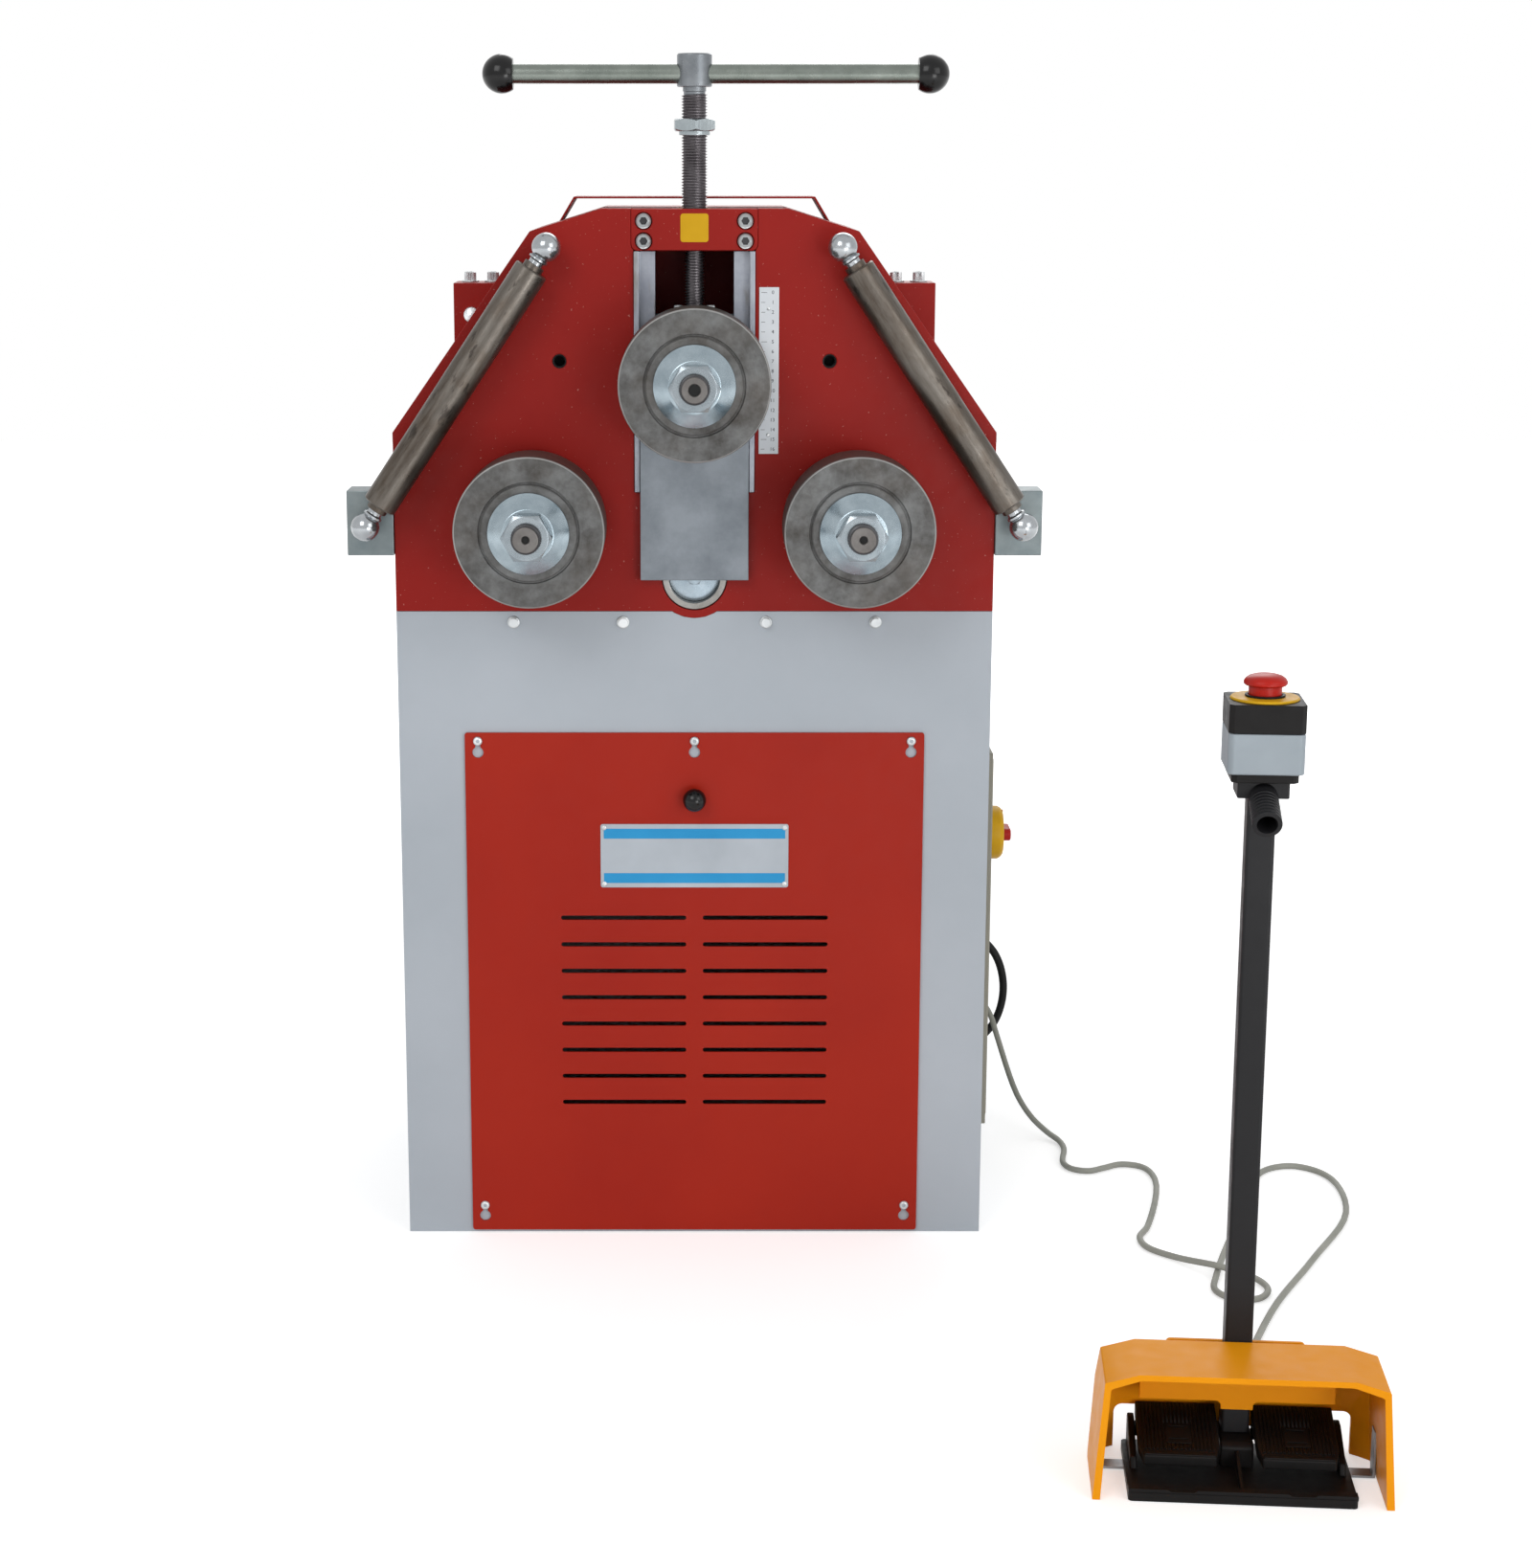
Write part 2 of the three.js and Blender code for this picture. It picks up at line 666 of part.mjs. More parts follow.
// Front and rear plates, casing with its lugs, top guard and scale strip
function buildHeadShell() {
  const pocketHalf = crossbarHalf + seatGap;
  const channel = block(-channelHalf, channelHalf, -overrun, frontPlateThick + overrun,
    channelBottom, crossbarBottom + crossbarCorner);
  const pocket = frontPlate(
    crossbarOutline(pocketHalf, crossbarBottom - seatGap, crownHeight + overrun, crossbarCorner),
    -overrun, frontPlateThick + overrun);
  const taps = [-1, 1].map((side) => rod('y', tapRadius, -overrun, tapDepth, smallSides)
    .translate(side * tapSpacing / 2, 0, tapHeight));
  const bushBores = [-1, 1].map((side) => rod('y', bushRadius + seatGap, -overrun, frontPlateThick + overrun)
    .translate(side * rollerSpacing / 2, 0, lowerHeight));
  const bearingBoreCut = rod('y', bearingRadius + seatGap, -overrun, frontPlateThick + overrun)
    .translate(0, 0, pinionHeight);
  const lobe = rod('y', lobeRadius, 0, frontPlateThick, wheelSides).translate(0, 0, pinionHeight);
  const frontBody = join(frontPlate(headOutline(seatGap), 0, frontPlateThick), lobe);

  const rearJournals = [-1, 1].map((side) => rod('y', rearJournalRadius + runGap,
    rearPlateFront - overrun, headDepth + overrun).translate(side * rollerSpacing / 2, 0, lowerHeight));
  const tailBore = rod('y', pinionTailRadius + runGap, rearPlateFront - overrun, headDepth + overrun)
    .translate(0, 0, pinionHeight);
  const rearBody = frontPlate(headOutline(seatGap), rearPlateFront, headDepth);

  const casingFront = frontPlateThick + seatGap;
  const casingBack = rearPlateFront - seatGap;
  const casingInside = inset(headOutline(-overrun - casingSheet), casingSheet);
  const casing = cut(
    frontPlate(headOutline(seatGap), casingFront, casingBack),
    frontPlate(casingInside, casingFront - overrun, casingBack + overrun));
  const lugs = [-1, 1].map((side) => lugBody(side));

  const guardLine = [
    [-guardFootHalf, slopeTopHeight], [-guardHalf, crownHeight + guardRise],
    [guardHalf, crownHeight + guardRise], [guardFootHalf, slopeTopHeight],
  ];
  const guardStrip = frontPlate(ribbon([...guardLine].reverse(), guardSheet),
    guardFront, guardFront + guardDepth);
  const casingSeat = frontPlate(inset(headOutline(seatGap), -seatGap),
    guardFront - overrun, guardFront + guardDepth + overrun);

  const frontHoles = [channel, pocket, ...taps, ...bushBores, bearingBoreCut];

  const group = new THREE.Group();
  group.position.set(0, frontY, cabinetHeight);
  group.add(
    piece('head_front_plate', cut(frontBody, ...frontHoles), 'redPaint'),
    piece('head_rear_plate', cut(rearBody, ...rearJournals, tailBore), 'redPaint'),
    piece('head_casing', join(casing, ...lugs), 'redPaint'),
    piece('top_guard', cut(guardStrip, casingSeat), 'redPaint'),
    piece('scale_strip', block(stripOffset, stripOffset + stripWidth, -seatGap - stripThick, -seatGap,
      stripTop - stripLength, stripTop), 'whiteStrip'),
  );
  return group;
}

// Lug on the casing's slope: a level top and an upright outer face
function lugBody(side) {
  const half = cabinetWidth / 2;
  const fall = (slopeTopHeight - shoulderHeight) / (half - slopeTopHalf);
  const foot = [lugHalf, shoulderHeight + (half - lugHalf) * fall];
  const top = [half - (lugTop - shoulderHeight) / fall, lugTop];
  const sunk = [(foot[0] + top[0]) / 2 - casingSheet / 2, (foot[1] + top[1]) / 2];
  const corners = [foot, [lugHalf, lugTop], top, sunk].map(([x, z]) => [side * x, z]);
  return frontPlate(side < 0 ? corners.reverse() : corners, lugFront, lugFront + lugDepth);
}

// Crossbar outline with its two lower corners rounded
function crossbarOutline(half, bottom, top, corner) {
  const quarter = Math.PI / 2;
  const arc = (centre, from) => Array.from({ length: cornerSteps + 1 }, (_, step) => {
    const angle = from + (step * quarter) / cornerSteps;
    return [centre + corner * Math.cos(angle), bottom + corner + corner * Math.sin(angle)];
  });
  return [
    ...arc(-half + corner, 2 * quarter), ...arc(half - corner, 3 * quarter),
    [half, top], [-half, top],
  ];
}

// Crossbar with the bronze nut of the adjusting screw, and the two L-shaped rails
function buildGuides() {
  const nutBore = rod('z', screwNutRadius + seatGap, crossbarBottom - overrun, crossbarTop + overrun)
    .translate(0, screwDepth, 0);
  const bar = frontPlate(crossbarOutline(crossbarHalf, crossbarBottom, crossbarTop, crossbarCorner),
    0, frontPlateThick);
  const nut = ring('z', threadRadius + runGap, screwNutRadius, crossbarBottom, crossbarTop)
    .translate(0, screwDepth, 0);
  const railOuter = channelHalf - seatGap;
  const rails = [['rail_left', -1], ['rail_right', 1]].map(([name, side]) => {
    const section = [
      [railOuter - railWidth, -railProud], [railOuter, -railProud], [railOuter, frontPlateThick],
      [railOuter - railWidth - railLedge, frontPlateThick], [railOuter - railWidth - railLedge, railStep],
      [railOuter - railWidth, railStep],
    ].map(([x, y]) => [side * x, y]);
    const body = floorPlate(side < 0 ? section.reverse() : section,
      channelBottom + seatGap, crossbarBottom - seatGap);
    return piece(name, body, 'groundSteel');
  });

  const group = new THREE.Group();
  group.position.set(0, frontY, cabinetHeight);
  group.add(
    piece('crossbar', cut(bar, nutBore), 'redPaint'),
    piece('screw_nut', nut, 'bronze'),
    ...rails,
  );
  return group;
}

// Slide block between the rails, its keeper with the shaft sleeve, the screw, lock nut and tommy bar
function buildSlide() {
  const wide = channelHalf - seatGap - railWidth - seatGap;
  const narrow = channelHalf - seatGap - railWidth - railLedge - seatGap;
  const apron = block(-wide, wide, -apronGap - apronThick, -apronGap, -apronDrop, slideRise);
  const body = block(-wide, wide, -apronGap - apronThick, railStep - runGap, -slideDrop, slideRise);
  const neck = block(-narrow, narrow, neckFront, frontPlateThick, -slideDrop, neckRise);
  const retainer = block(-retainerHalf, retainerHalf, screwDepth - retainerDepth / 2,
    screwDepth + retainerDepth / 2, neckRise - overrun, neckRise + retainerThick);
  const sleeveFront = -apronGap - apronThick + sleeveInset;
  const sleeveBore = rod('y', sleeveRadius + seatGap, sleeveFront - seatGap, frontPlateThick + overrun);
  const shaftBore = rod('y', seatRadius + runGap, -apronGap - apronThick - overrun, frontPlateThick);
  const collarPocket = rod('z', collarRadius + runGap, collarBottom - seatGap,
    collarBottom + collarThick + seatGap).translate(0, screwDepth, 0);
  const screwBore = rod('z', screwNeckRadius + runGap, collarBottom,
    neckRise + retainerThick + overrun).translate(0, screwDepth, 0);
  const slideBlock = cut(join(apron, body, neck, retainer), sleeveBore, shaftBore, collarPocket, screwBore);

  const keeperFront = frontPlateThick + runGap;
  const keeper = cut(
    join(
      block(-wide, wide, keeperFront, keeperFront + keeperThick, -slideDrop, neckRise),
      rod('y', sleeveRadius, sleeveFront, keeperFront + keeperThick / 2)),
    rod('y', seatRadius + runGap, sleeveFront - overrun, keeperFront + keeperThick + overrun));

  const hubBore = rod('x', barRadius + runGap, -hubRadius - overrun, hubRadius + overrun)
    .translate(0, 0, hubTop - barDrop);
  const screw = cut(turned([
    [0, collarBottom], [collarRadius, collarBottom], [collarRadius, collarBottom + collarThick],
    [screwNeckRadius, collarBottom + collarThick], [screwNeckRadius, threadBottom],
    [threadRadius, threadBottom], [threadRadius, threadTop], [hubNeckRadius, threadTop],
    [hubNeckRadius, hubBottom], [hubRadius, hubBottom], [hubRadius, hubTop], [0, hubTop],
  ], 'z'), hubBore);

  const nutTop = hubBottom - lockNutDrop;
  const nutBottom = nutTop - lockNutThick;
  const lockNut = cut(
    join(
      floorPlate(hexagon(lockNutFlats), nutBottom, nutTop),
      rod('z', lockNutBossRadius, nutBottom - lockNutBoss, nutBottom + overrun)),
    rod('z', threadRadius + runGap, nutBottom - lockNutBoss - overrun, nutTop + overrun));

  const ballHalf = barBallSpacing / 2;
  const barHalf = ballHalf - barBallRadius + barSocket - seatGap;
  const bar = rod('x', barRadius, -barHalf, barHalf).translate(barShift, 0, 0);
  const balls = [['ball_left', -1], ['ball_right', 1]].map(([name, side]) => {
    const inner = side * (barHalf + seatGap);
    const outer = side * (barHalf - barBallRadius - overrun);
    const socket = rod('x', barRadius + seatGap, Math.min(inner, outer), Math.max(inner, outer));
    const ball = new THREE.SphereGeometry(barBallRadius, ballSides, ballRings).rotateX(Math.PI / 2);
    const body = cut(ball.translate(side * ballHalf, 0, 0), socket);
    const mesh = piece(name, body, 'blackBall');
    mesh.position.set(barShift, 0, 0);
    return mesh;
  });

  const screwGroup = new THREE.Group();
  screwGroup.position.set(0, screwDepth, 0);
  const barGroup = new THREE.Group();
  barGroup.position.set(0, 0, hubTop - barDrop);
  barGroup.add(piece('tommy_bar', bar, 'groundSteel'), ...balls);
  screwGroup.add(piece('spindle', screw, 'groundSteel'), piece('lock_nut', lockNut, 'zinc'), barGroup);

  const group = new THREE.Group();
  group.position.set(0, frontY, cabinetHeight + upperHeight);
  group.add(
    piece('slide_block', slideBlock, 'groundSteel'),
    piece('slide_keeper', keeper, 'castIron'),
    screwGroup,
    ...rollerSet('upper'),
    piece('upper_shaft', upperShaft(keeperFront + keeperThick), 'groundSteel'),
  );
  return group;
}

// Roller and its clamp nut with the conical washer, round the Y axis from the head's front plane
function rollerSet(side) {
  const back = -rollerStandoff;
  const face = back - rollerWidth;
  const bore = seatRadius + seatGap;
  const rim = rollerRadius - rollerChamfer;
  const groove = hubRingRadius + hubRingGroove;
  const roller = turned([
    [bore, hubRingFace], [hubRingRadius, hubRingFace], [hubRingRadius, face + hubRingGroove],
    [groove, face + hubRingGroove], [groove, face], [rim, face], [rollerRadius, face + rollerChamfer],
    [rollerRadius, back - rollerChamfer], [rim, back], [bore, back],
  ], 'y', wheelSides);
  const seat = hubRingFace - seatGap;
  const washerFace = seat - washerThick;
  const washer = turned([
    [threadEndRadius + seatGap, washerFace], [washerTopRadius, washerFace], [washerRadius, seat - washerRim],
    [washerRadius, seat], [threadEndRadius + seatGap, seat],
  ], 'y');
  const nut = cut(
    frontPlate(hexagon(clampNutFlats), washerFace - clampNutThick, washerFace + washerThick / 2),
    rod('y', threadEndRadius + seatGap, washerFace - clampNutThick - overrun, washerFace + washerThick));
  return [
    piece(`${side}_roller`, roller, 'groundSteel'),
    piece(`${side}_clamp_nut`, join(washer, nut), 'zinc'),
  ];
}

// Front half of a roller shaft's profile: centre hole, threaded end, roller seat and flange
function shaftNose(flangeBack) {
  const flangeFront = -rollerStandoff + seatGap;
  const seatEnd = hubRingFace;
  return [
    [0, shaftEnd + centreHoleDepth], [centreHoleRadius, shaftEnd + centreHoleDepth],
    [centreHoleRadius, shaftEnd], [threadEndRadius - threadEndChamfer, shaftEnd],
    [threadEndRadius, shaftEnd + threadEndChamfer], [threadEndRadius, seatEnd], [seatRadius, seatEnd],
    [seatRadius, flangeFront], [flangeRadius, flangeFront], [flangeRadius, flangeBack],
    [seatRadius, flangeBack],
  ];
}

function upperShaft(keeperBack) {
  const collarFront = keeperBack + runGap;
  return turned([
    ...shaftNose(-apronGap - apronThick - runGap),
    [seatRadius, collarFront], [shaftCollarRadius, collarFront],
    [shaftCollarRadius, collarFront + shaftCollarThick], [0, collarFront + shaftCollarThick],
  ], 'y');
}

// Spur gear outline whose straight flanks join the involute's points on the root and tip circles
function gearOutline(teeth, turn) {
  const pitch = (gearModule * teeth) / 2;
  const base = pitch * Math.cos(pressureAngle);
  const radii = [pitch - gearModule * dedendumShare, pitch + gearModule * addendumShare];
  const involute = (angle) => Math.tan(angle) - angle;
  const halfTooth = Math.PI / (2 * teeth) - gearBacklash / (4 * pitch);
  const flank = (radius) => {
    const pressure = Math.acos(Math.min(1, base / radius));
    return halfTooth + involute(pressureAngle) - involute(pressure);
  };
  return Array.from({ length: teeth }, (_, i) => {
    const centre = turn + (i * 2 * Math.PI) / teeth;
    const at = (radius, angle) => [radius * Math.cos(angle), radius * Math.sin(angle)];
    const rising = radii.map((radius) => at(radius, centre - flank(radius)));
    const falling = [...radii].reverse().map((radius) => at(radius, centre + flank(radius)));
    return [...rising, ...falling];
  }).flat();
}

// Turn of a gear so that its gaps take the pinion's teeth, for a gear seen from the pinion at an angle
function meshingTurn(angle, pinionTurn) {
  const pinionPitch = (2 * Math.PI) / pinionTeeth;
  const toothAhead = (pinionTurn - angle) - Math.round((pinionTurn - angle) / pinionPitch) * pinionPitch;
  return angle + Math.PI - (toothAhead * pinionTeeth) / gearTeeth + Math.PI / gearTeeth;
}

// Lower rollers with shafts, gears and bushes, and the pinion shaft in its bearing
function buildDriveTrain() {
  const group = new THREE.Group();
  group.position.set(0, frontY, cabinetHeight);
  const rise = lowerHeight - pinionHeight;
  const pinionTurn = Math.atan2(rise, rollerSpacing / 2);
  const gearBack = gearFront + gearWidth;
  const bushFlangeFace = -seatGap - bushFlangeThick;

  for (const [name, side] of [['left', -1], ['right', 1]]) {
    const shaft = turned([
      ...shaftNose(bushFlangeFace - runGap),
      [seatRadius, gearBack], [gearHubRadius, gearBack], [gearHubRadius, gearBack + gearWidth / 2],
      [seatRadius, gearBack + gearWidth / 2], [seatRadius, rearPlateFront - runGap],
      [rearJournalRadius, rearPlateFront - runGap],
      [rearJournalRadius, headDepth + journalProud], [0, headDepth + journalProud],
    ], 'y');
    const angle = Math.atan2(rise, side * rollerSpacing / 2);
    const gear = frontPlate(gearOutline(gearTeeth, meshingTurn(angle, pinionTurn)), gearFront, gearBack);
    const bush = turned([
      [seatRadius + runGap, bushFlangeFace], [bushFlangeRadius, bushFlangeFace],
      [bushFlangeRadius, -seatGap], [bushRadius, -seatGap], [bushRadius, frontPlateThick],
      [seatRadius + runGap, frontPlateThick],
    ], 'y');
    const station = new THREE.Group();
    station.position.set(side * rollerSpacing / 2, 0, lowerHeight);
    station.add(
      piece(`${name}_shaft`, join(shaft, gear), 'groundSteel'),
      piece(`${name}_bush`, bush, 'bronze'),
      ...rollerSet(name),
    );
    group.add(station);
  }

  const washerFace = endWasherRecess;
  const pinionShaft = join(
    turned([
      [0, washerFace], [pinionJournalRadius, washerFace], [pinionJournalRadius, gearFront],
      [gearHubRadius, gearFront], [gearHubRadius, gearBack + gearWidth / 2],
      [pinionTailRadius, gearBack + gearWidth / 2], [pinionTailRadius, headDepth + tailLength],
      [0, headDepth + tailLength],
    ], 'y'),
    frontPlate(gearOutline(pinionTeeth, pinionTurn), gearFront, gearBack),
    frontPlate(polygon(6, endBoltRadius), washerFace - endBoltThick, washerFace + overrun));
  const pinionStation = new THREE.Group();
  pinionStation.position.set(0, 0, pinionHeight);
  const bearing = ring('y', bearingBore, bearingRadius, bearingRecess, frontPlateThick);
  pinionStation.add(
    piece('pinion_shaft', pinionShaft, 'groundSteel'),
    piece('pinion_bearing', bearing, 'groundSteel'),
  );
  group.add(pinionStation);
  return group;
}

// Gear reducer with its motor hanging into the cabinet, under a cover behind the head
function buildDriveUnit() {
  const face = headDepth + seatGap;
  const bodyFront = headDepth + reducerStandoff;
  const bodyBack = bodyFront + reducerDepth;
  const motorY = (bodyFront + bodyBack) / 2;
  const motorBottom = -reducerDrop - motorLength;
  const unit = cut(
    join(
      block(-reducerHalf, reducerHalf, bodyFront, bodyBack, -reducerDrop, reducerRise),
      rod('y', reducerFlangeRadius, face, bodyFront + overrun),
      turned([
        [0, motorBottom - motorCapLength], [motorCapRadius, motorBottom - motorCapLength],
        [motorCapRadius, motorBottom], [motorRadius, motorBottom], [motorRadius, -reducerDrop + overrun],
        [0, -reducerDrop + overrun],
      ], 'z').translate(0, motorY, 0)),
    rod('y', pinionTailRadius + runGap, face - overrun, headDepth + tailLength + overrun));
  const coverBack = face + coverDepth;
  const section = [
    [face, seatGap], [coverBack, seatGap], [coverBack, coverHeight - coverBevelHeight],
    [coverBack - coverBevelDepth, coverHeight], [face, coverHeight],
  ];
  const grown = [
    [face - coverSheet - overrun, -coverSheet - overrun], [coverBack, -coverSheet - overrun],
    ...section.slice(2, 4), [face - coverSheet - overrun, coverHeight],
  ];
  const cover = cut(
    sidePlate(section, -coverHalf, coverHalf),
    sidePlate(inset(grown, coverSheet), -coverHalf + coverSheet, coverHalf - coverSheet));

  const unitMesh = piece('gearmotor', unit, 'castIron');
  unitMesh.position.z = pinionHeight;
  const group = new THREE.Group();
  group.position.set(0, frontY, cabinetHeight);
  group.add(unitMesh, piece('drive_cover', cover, 'redPaint'));
  return group;
}

// Slanted side rolls on their axles with a ball at each end, and the blocks that carry the lower balls
function buildSideRolls() {
  const run = rollLowerHalf - rollUpperHalf;
  const climb = rollUpperHeight - rollLowerHeight;
  const length = Math.hypot(run, climb);
  const half = cabinetWidth / 2;
  const group = new THREE.Group();
  group.position.set(0, frontY, cabinetHeight);
  for (const [name, side] of [['left', -1], ['right', 1]]) {
    const ball = () => new THREE.SphereGeometry(rollBallRadius, ballSides, ballRings);
    const axle = join(
      rod('z', axleRadius, 0, length, smallSides),
      ball(),
      ball().translate(0, 0, length),
      rod('y', studRadius, 0, rollStandoff - sideBlockProud - seatGap, smallSides),
      rod('y', studRadius, 0, rollStandoff - seatGap, smallSides).translate(0, 0, length));
    const rollStart = rollEndGap;
    const rollEnd = length - rollEndGap;
    const roll = turned([
      [axleRadius + axleGap, rollStart], [rollNeckRadius, rollStart],
      [rollNeckRadius, rollStart + rollNeckLength], [rollRadius, rollStart + rollNeckLength],
      [rollRadius, rollEnd - rollNeckLength],
      [rollNeckRadius, rollEnd - rollNeckLength], [rollNeckRadius, rollEnd], [axleRadius + axleGap, rollEnd],
    ], 'z');
    const slanted = new THREE.Group();
    slanted.position.set(side * rollLowerHalf, -rollStandoff, rollLowerHeight);
    slanted.rotation.y = -side * Math.atan2(run, climb);
    slanted.add(piece(`${name}_side_axle`, axle, 'chrome'), piece(`${name}_side_roll`, roll, 'darkSteel'));
    const inner = half + seatGap;
    const outer = inner + sideBlockWidth;
    const carrier = block(Math.min(side * inner, side * outer), Math.max(side * inner, side * outer),
      -sideBlockProud, sideBlockDepth - sideBlockProud, sideBlockBottom, sideBlockBottom + sideBlockHeight);
    group.add(slanted, piece(`${name}_side_block`, carrier, 'groundSteel'));
  }
  return group;
}

// Electrical enclosure, main switch, cable gland and the loop cable on the right side of the cabinet
function buildElectrics() {
  const wall = seatGap;
  const face = wall + enclosureReach;
  const enclosure = cut(
    block(wall, face, enclosureFront, enclosureFront + enclosureDepth,
      enclosureBottom, enclosureBottom + enclosureHeight),
    block(wall - overrun, face - enclosureSheet, enclosureFront + enclosureSheet,
      enclosureFront + enclosureDepth - enclosureSheet, enclosureBottom + enclosureSheet,
      enclosureBottom + enclosureHeight - enclosureSheet));
  const baseStart = face + seatGap;
  const baseEnd = baseStart + switchBaseThick;
  const base = turned([
    [0, baseStart], [switchBaseRadius, baseStart], [switchBaseRadius, baseEnd - switchRimChamfer],
    [switchBaseRadius - switchRimChamfer, baseEnd], [switchWellRadius, baseEnd],
    [switchWellRadius, baseEnd - switchWellDepth], [0, baseEnd - switchWellDepth],
  ], 'x', wheelSides);
  const wellFloor = baseEnd - switchWellDepth + seatGap;
  const handle = join(
    rod('x', handleLength / 2, wellFloor, wellFloor + switchWellDepth / 2),
    block(wellFloor, baseEnd + handleReach, -handleLength / 2 + overrun, handleLength / 2 - overrun,
      -handleWidth / 2, handleWidth / 2));
  const gland = turned([
    [0, wall], [glandRadius, wall], [glandRadius, wall + glandBodyLength],
    [glandRadius - overrun, wall + glandBodyLength], [glandNoseRadius, wall + glandReach],
    [0, wall + glandReach],
  ], 'x', smallSides);
  const loopMiddle = (loopTop + loopBottom) / 2;
  const loopDrop = (loopTop - loopMiddle) * loopDropShare;
  const corner = wall + loopFittingLength;
  const loopPath = new THREE.CatmullRomCurve3([
    [corner / 2, loopTop], [corner + loopFittingLength / 2, loopTop],
    [loopBulge * loopBulgeShare, loopTop - loopDrop], [loopBulge, loopMiddle],
    [loopBulge * loopBulgeShare, loopBottom + loopDrop],
    [corner + loopFittingLength / 2, loopBottom], [corner / 2, loopBottom],
  ].map(([x, z]) => new THREE.Vector3(x, 0, z)));
  const loopTube = new THREE.ExtrudeGeometry(outline(polygon(cableSides, loopRadius)),
    { steps: loopSteps, bevelEnabled: false, extrudePath: loopPath });
  const fitting = (height) => rod('x', loopFittingRadius, wall, corner, smallSides).translate(0, 0, height);

  const switchGroup = new THREE.Group();
  switchGroup.position.set(0, switchDepth, switchHeight);
  switchGroup.add(piece('switch_base', base, 'yellowPlastic'), piece('switch_handle', handle, 'redPlastic'));
  const glandMesh = piece('cable_gland', gland, 'blackPlastic');
  glandMesh.position.set(0, glandDepth, glandHeight);
  const loopMesh = piece('loop_cable', join(loopTube, fitting(loopTop), fitting(loopBottom)), 'blackPlastic');
  loopMesh.position.set(0, loopDepth, 0);

  const group = new THREE.Group();
  group.position.set(cabinetWidth / 2, frontY, 0);
  group.add(piece('switch_enclosure', enclosure, 'enclosurePaint'), switchGroup, glandMesh, loopMesh);
  return group;
}

// Control cable, a tube along its chosen route
function buildControlCable() {
  const path = new THREE.CatmullRomCurve3(
    cableRoute.map((point) => new THREE.Vector3(...point)), false, 'centripetal');
  const tube = new THREE.ExtrudeGeometry(outline(polygon(cableSides, cableRadius, Math.PI / cableSides)),
    { steps: cableSteps, bevelEnabled: false, extrudePath: path });
  return piece('control_cable', tube, 'greyCable');
}

// Corner points of the hood moved inwards by a wall, for the shell's outer and inner body
function hoodHull(wall, front, floor) {
  const rows = [
    [front, 0, hoodFootHalf, hoodShoulderHalf, hoodShoulderHeight, hoodTopHalf, hoodTopHeight],
    [hoodBend, hoodMiterShare, hoodFootHalf, hoodShoulderHalf, hoodShoulderHeight, hoodTopHalf,
      hoodTopHeight],
    [hoodKnee, hoodMiterShare, hoodKneeFootHalf, hoodKneeHalf, hoodKneeHeight, hoodTopHalf, hoodKneeTop],
    [hoodLength, 1, hoodRearFootHalf, hoodRearHalf, hoodRearHeight, hoodTopHalf, hoodRearTop],
  ];
  const row = ([y, share, foot, shoulder, shoulderTop, top, crown]) => [-1, 1].flatMap((side) => [
    new THREE.Vector3(side * (foot - wall), y - wall * share, floor),
    new THREE.Vector3(side * (shoulder - wall), y - wall * share, shoulderTop - wall),
    new THREE.Vector3(side * (top - wall * hoodCrownShare), y - wall * share, crown - wall),
  ]);
  return new ConvexGeometry(rows.flatMap(row));
}

function pedalHood() {
  const shell = cut(hoodHull(0, 0, 0), hoodHull(hoodSheet, -overrun, -overrun));
  const rearFace = hoodLength - hoodSheet;
  const rearOpening = cut(
    block(-hoodRearFootHalf + hoodSheet, hoodRearFootHalf - hoodSheet, rearFace - overrun,
      hoodLength + overrun, -overrun, hoodRearOpening),
    block(-hoodTabHalf, hoodTabHalf, rearFace - 2 * overrun, hoodLength + 2 * overrun,
      hoodTabBottom, hoodRearOpening + overrun));
  const poleHalf = poleWidth / 2 + seatGap;
  const bracket = block(-bracketHalf, bracketHalf, poleY + poleHalf, poleY + poleHalf + bracketThick,
    bracketBottom, bracketTop);
  const notch = block(-poleHalf, poleHalf, poleY - poleHalf, poleY + poleHalf, 0, hoodTopHeight + overrun);
  return cut(join(cut(shell, rearOpening), bracket), notch);
}

function pedalBase() {
  const earInner = ridgeHalf + treadleGap + treadleWidth + earGap;
  const earOuter = earInner + earThick;
  const ears = [-1, 1].map((side) => block(
    Math.min(side * earInner, side * earOuter), Math.max(side * earInner, side * earOuter),
    hingeY - earLength / 2, hingeY + earLength / 2, baseThick / 2, ridgeHeight));
  const body = join(
    block(-baseHalf, baseHalf, 0, baseLength, 0, baseThick),
    block(-baseHalf, baseHalf, 0, lipLength, 0, lipHeight),
    block(-ridgeHalf, ridgeHalf, ridgeFront, baseLength, 0, ridgeHeight),
    ...ears,
    rod('x', hingePinRadius, -earInner - earThick / 2, earInner + earThick / 2, smallSides)
      .translate(0, hingeY, hingeZ));
  return cut(body, block(-baseHalf - overrun, baseHalf + overrun, strapFront - seatGap,
    strapFront + strapWidth + seatGap, -overrun, strapLift + strapSheet + seatGap));
}

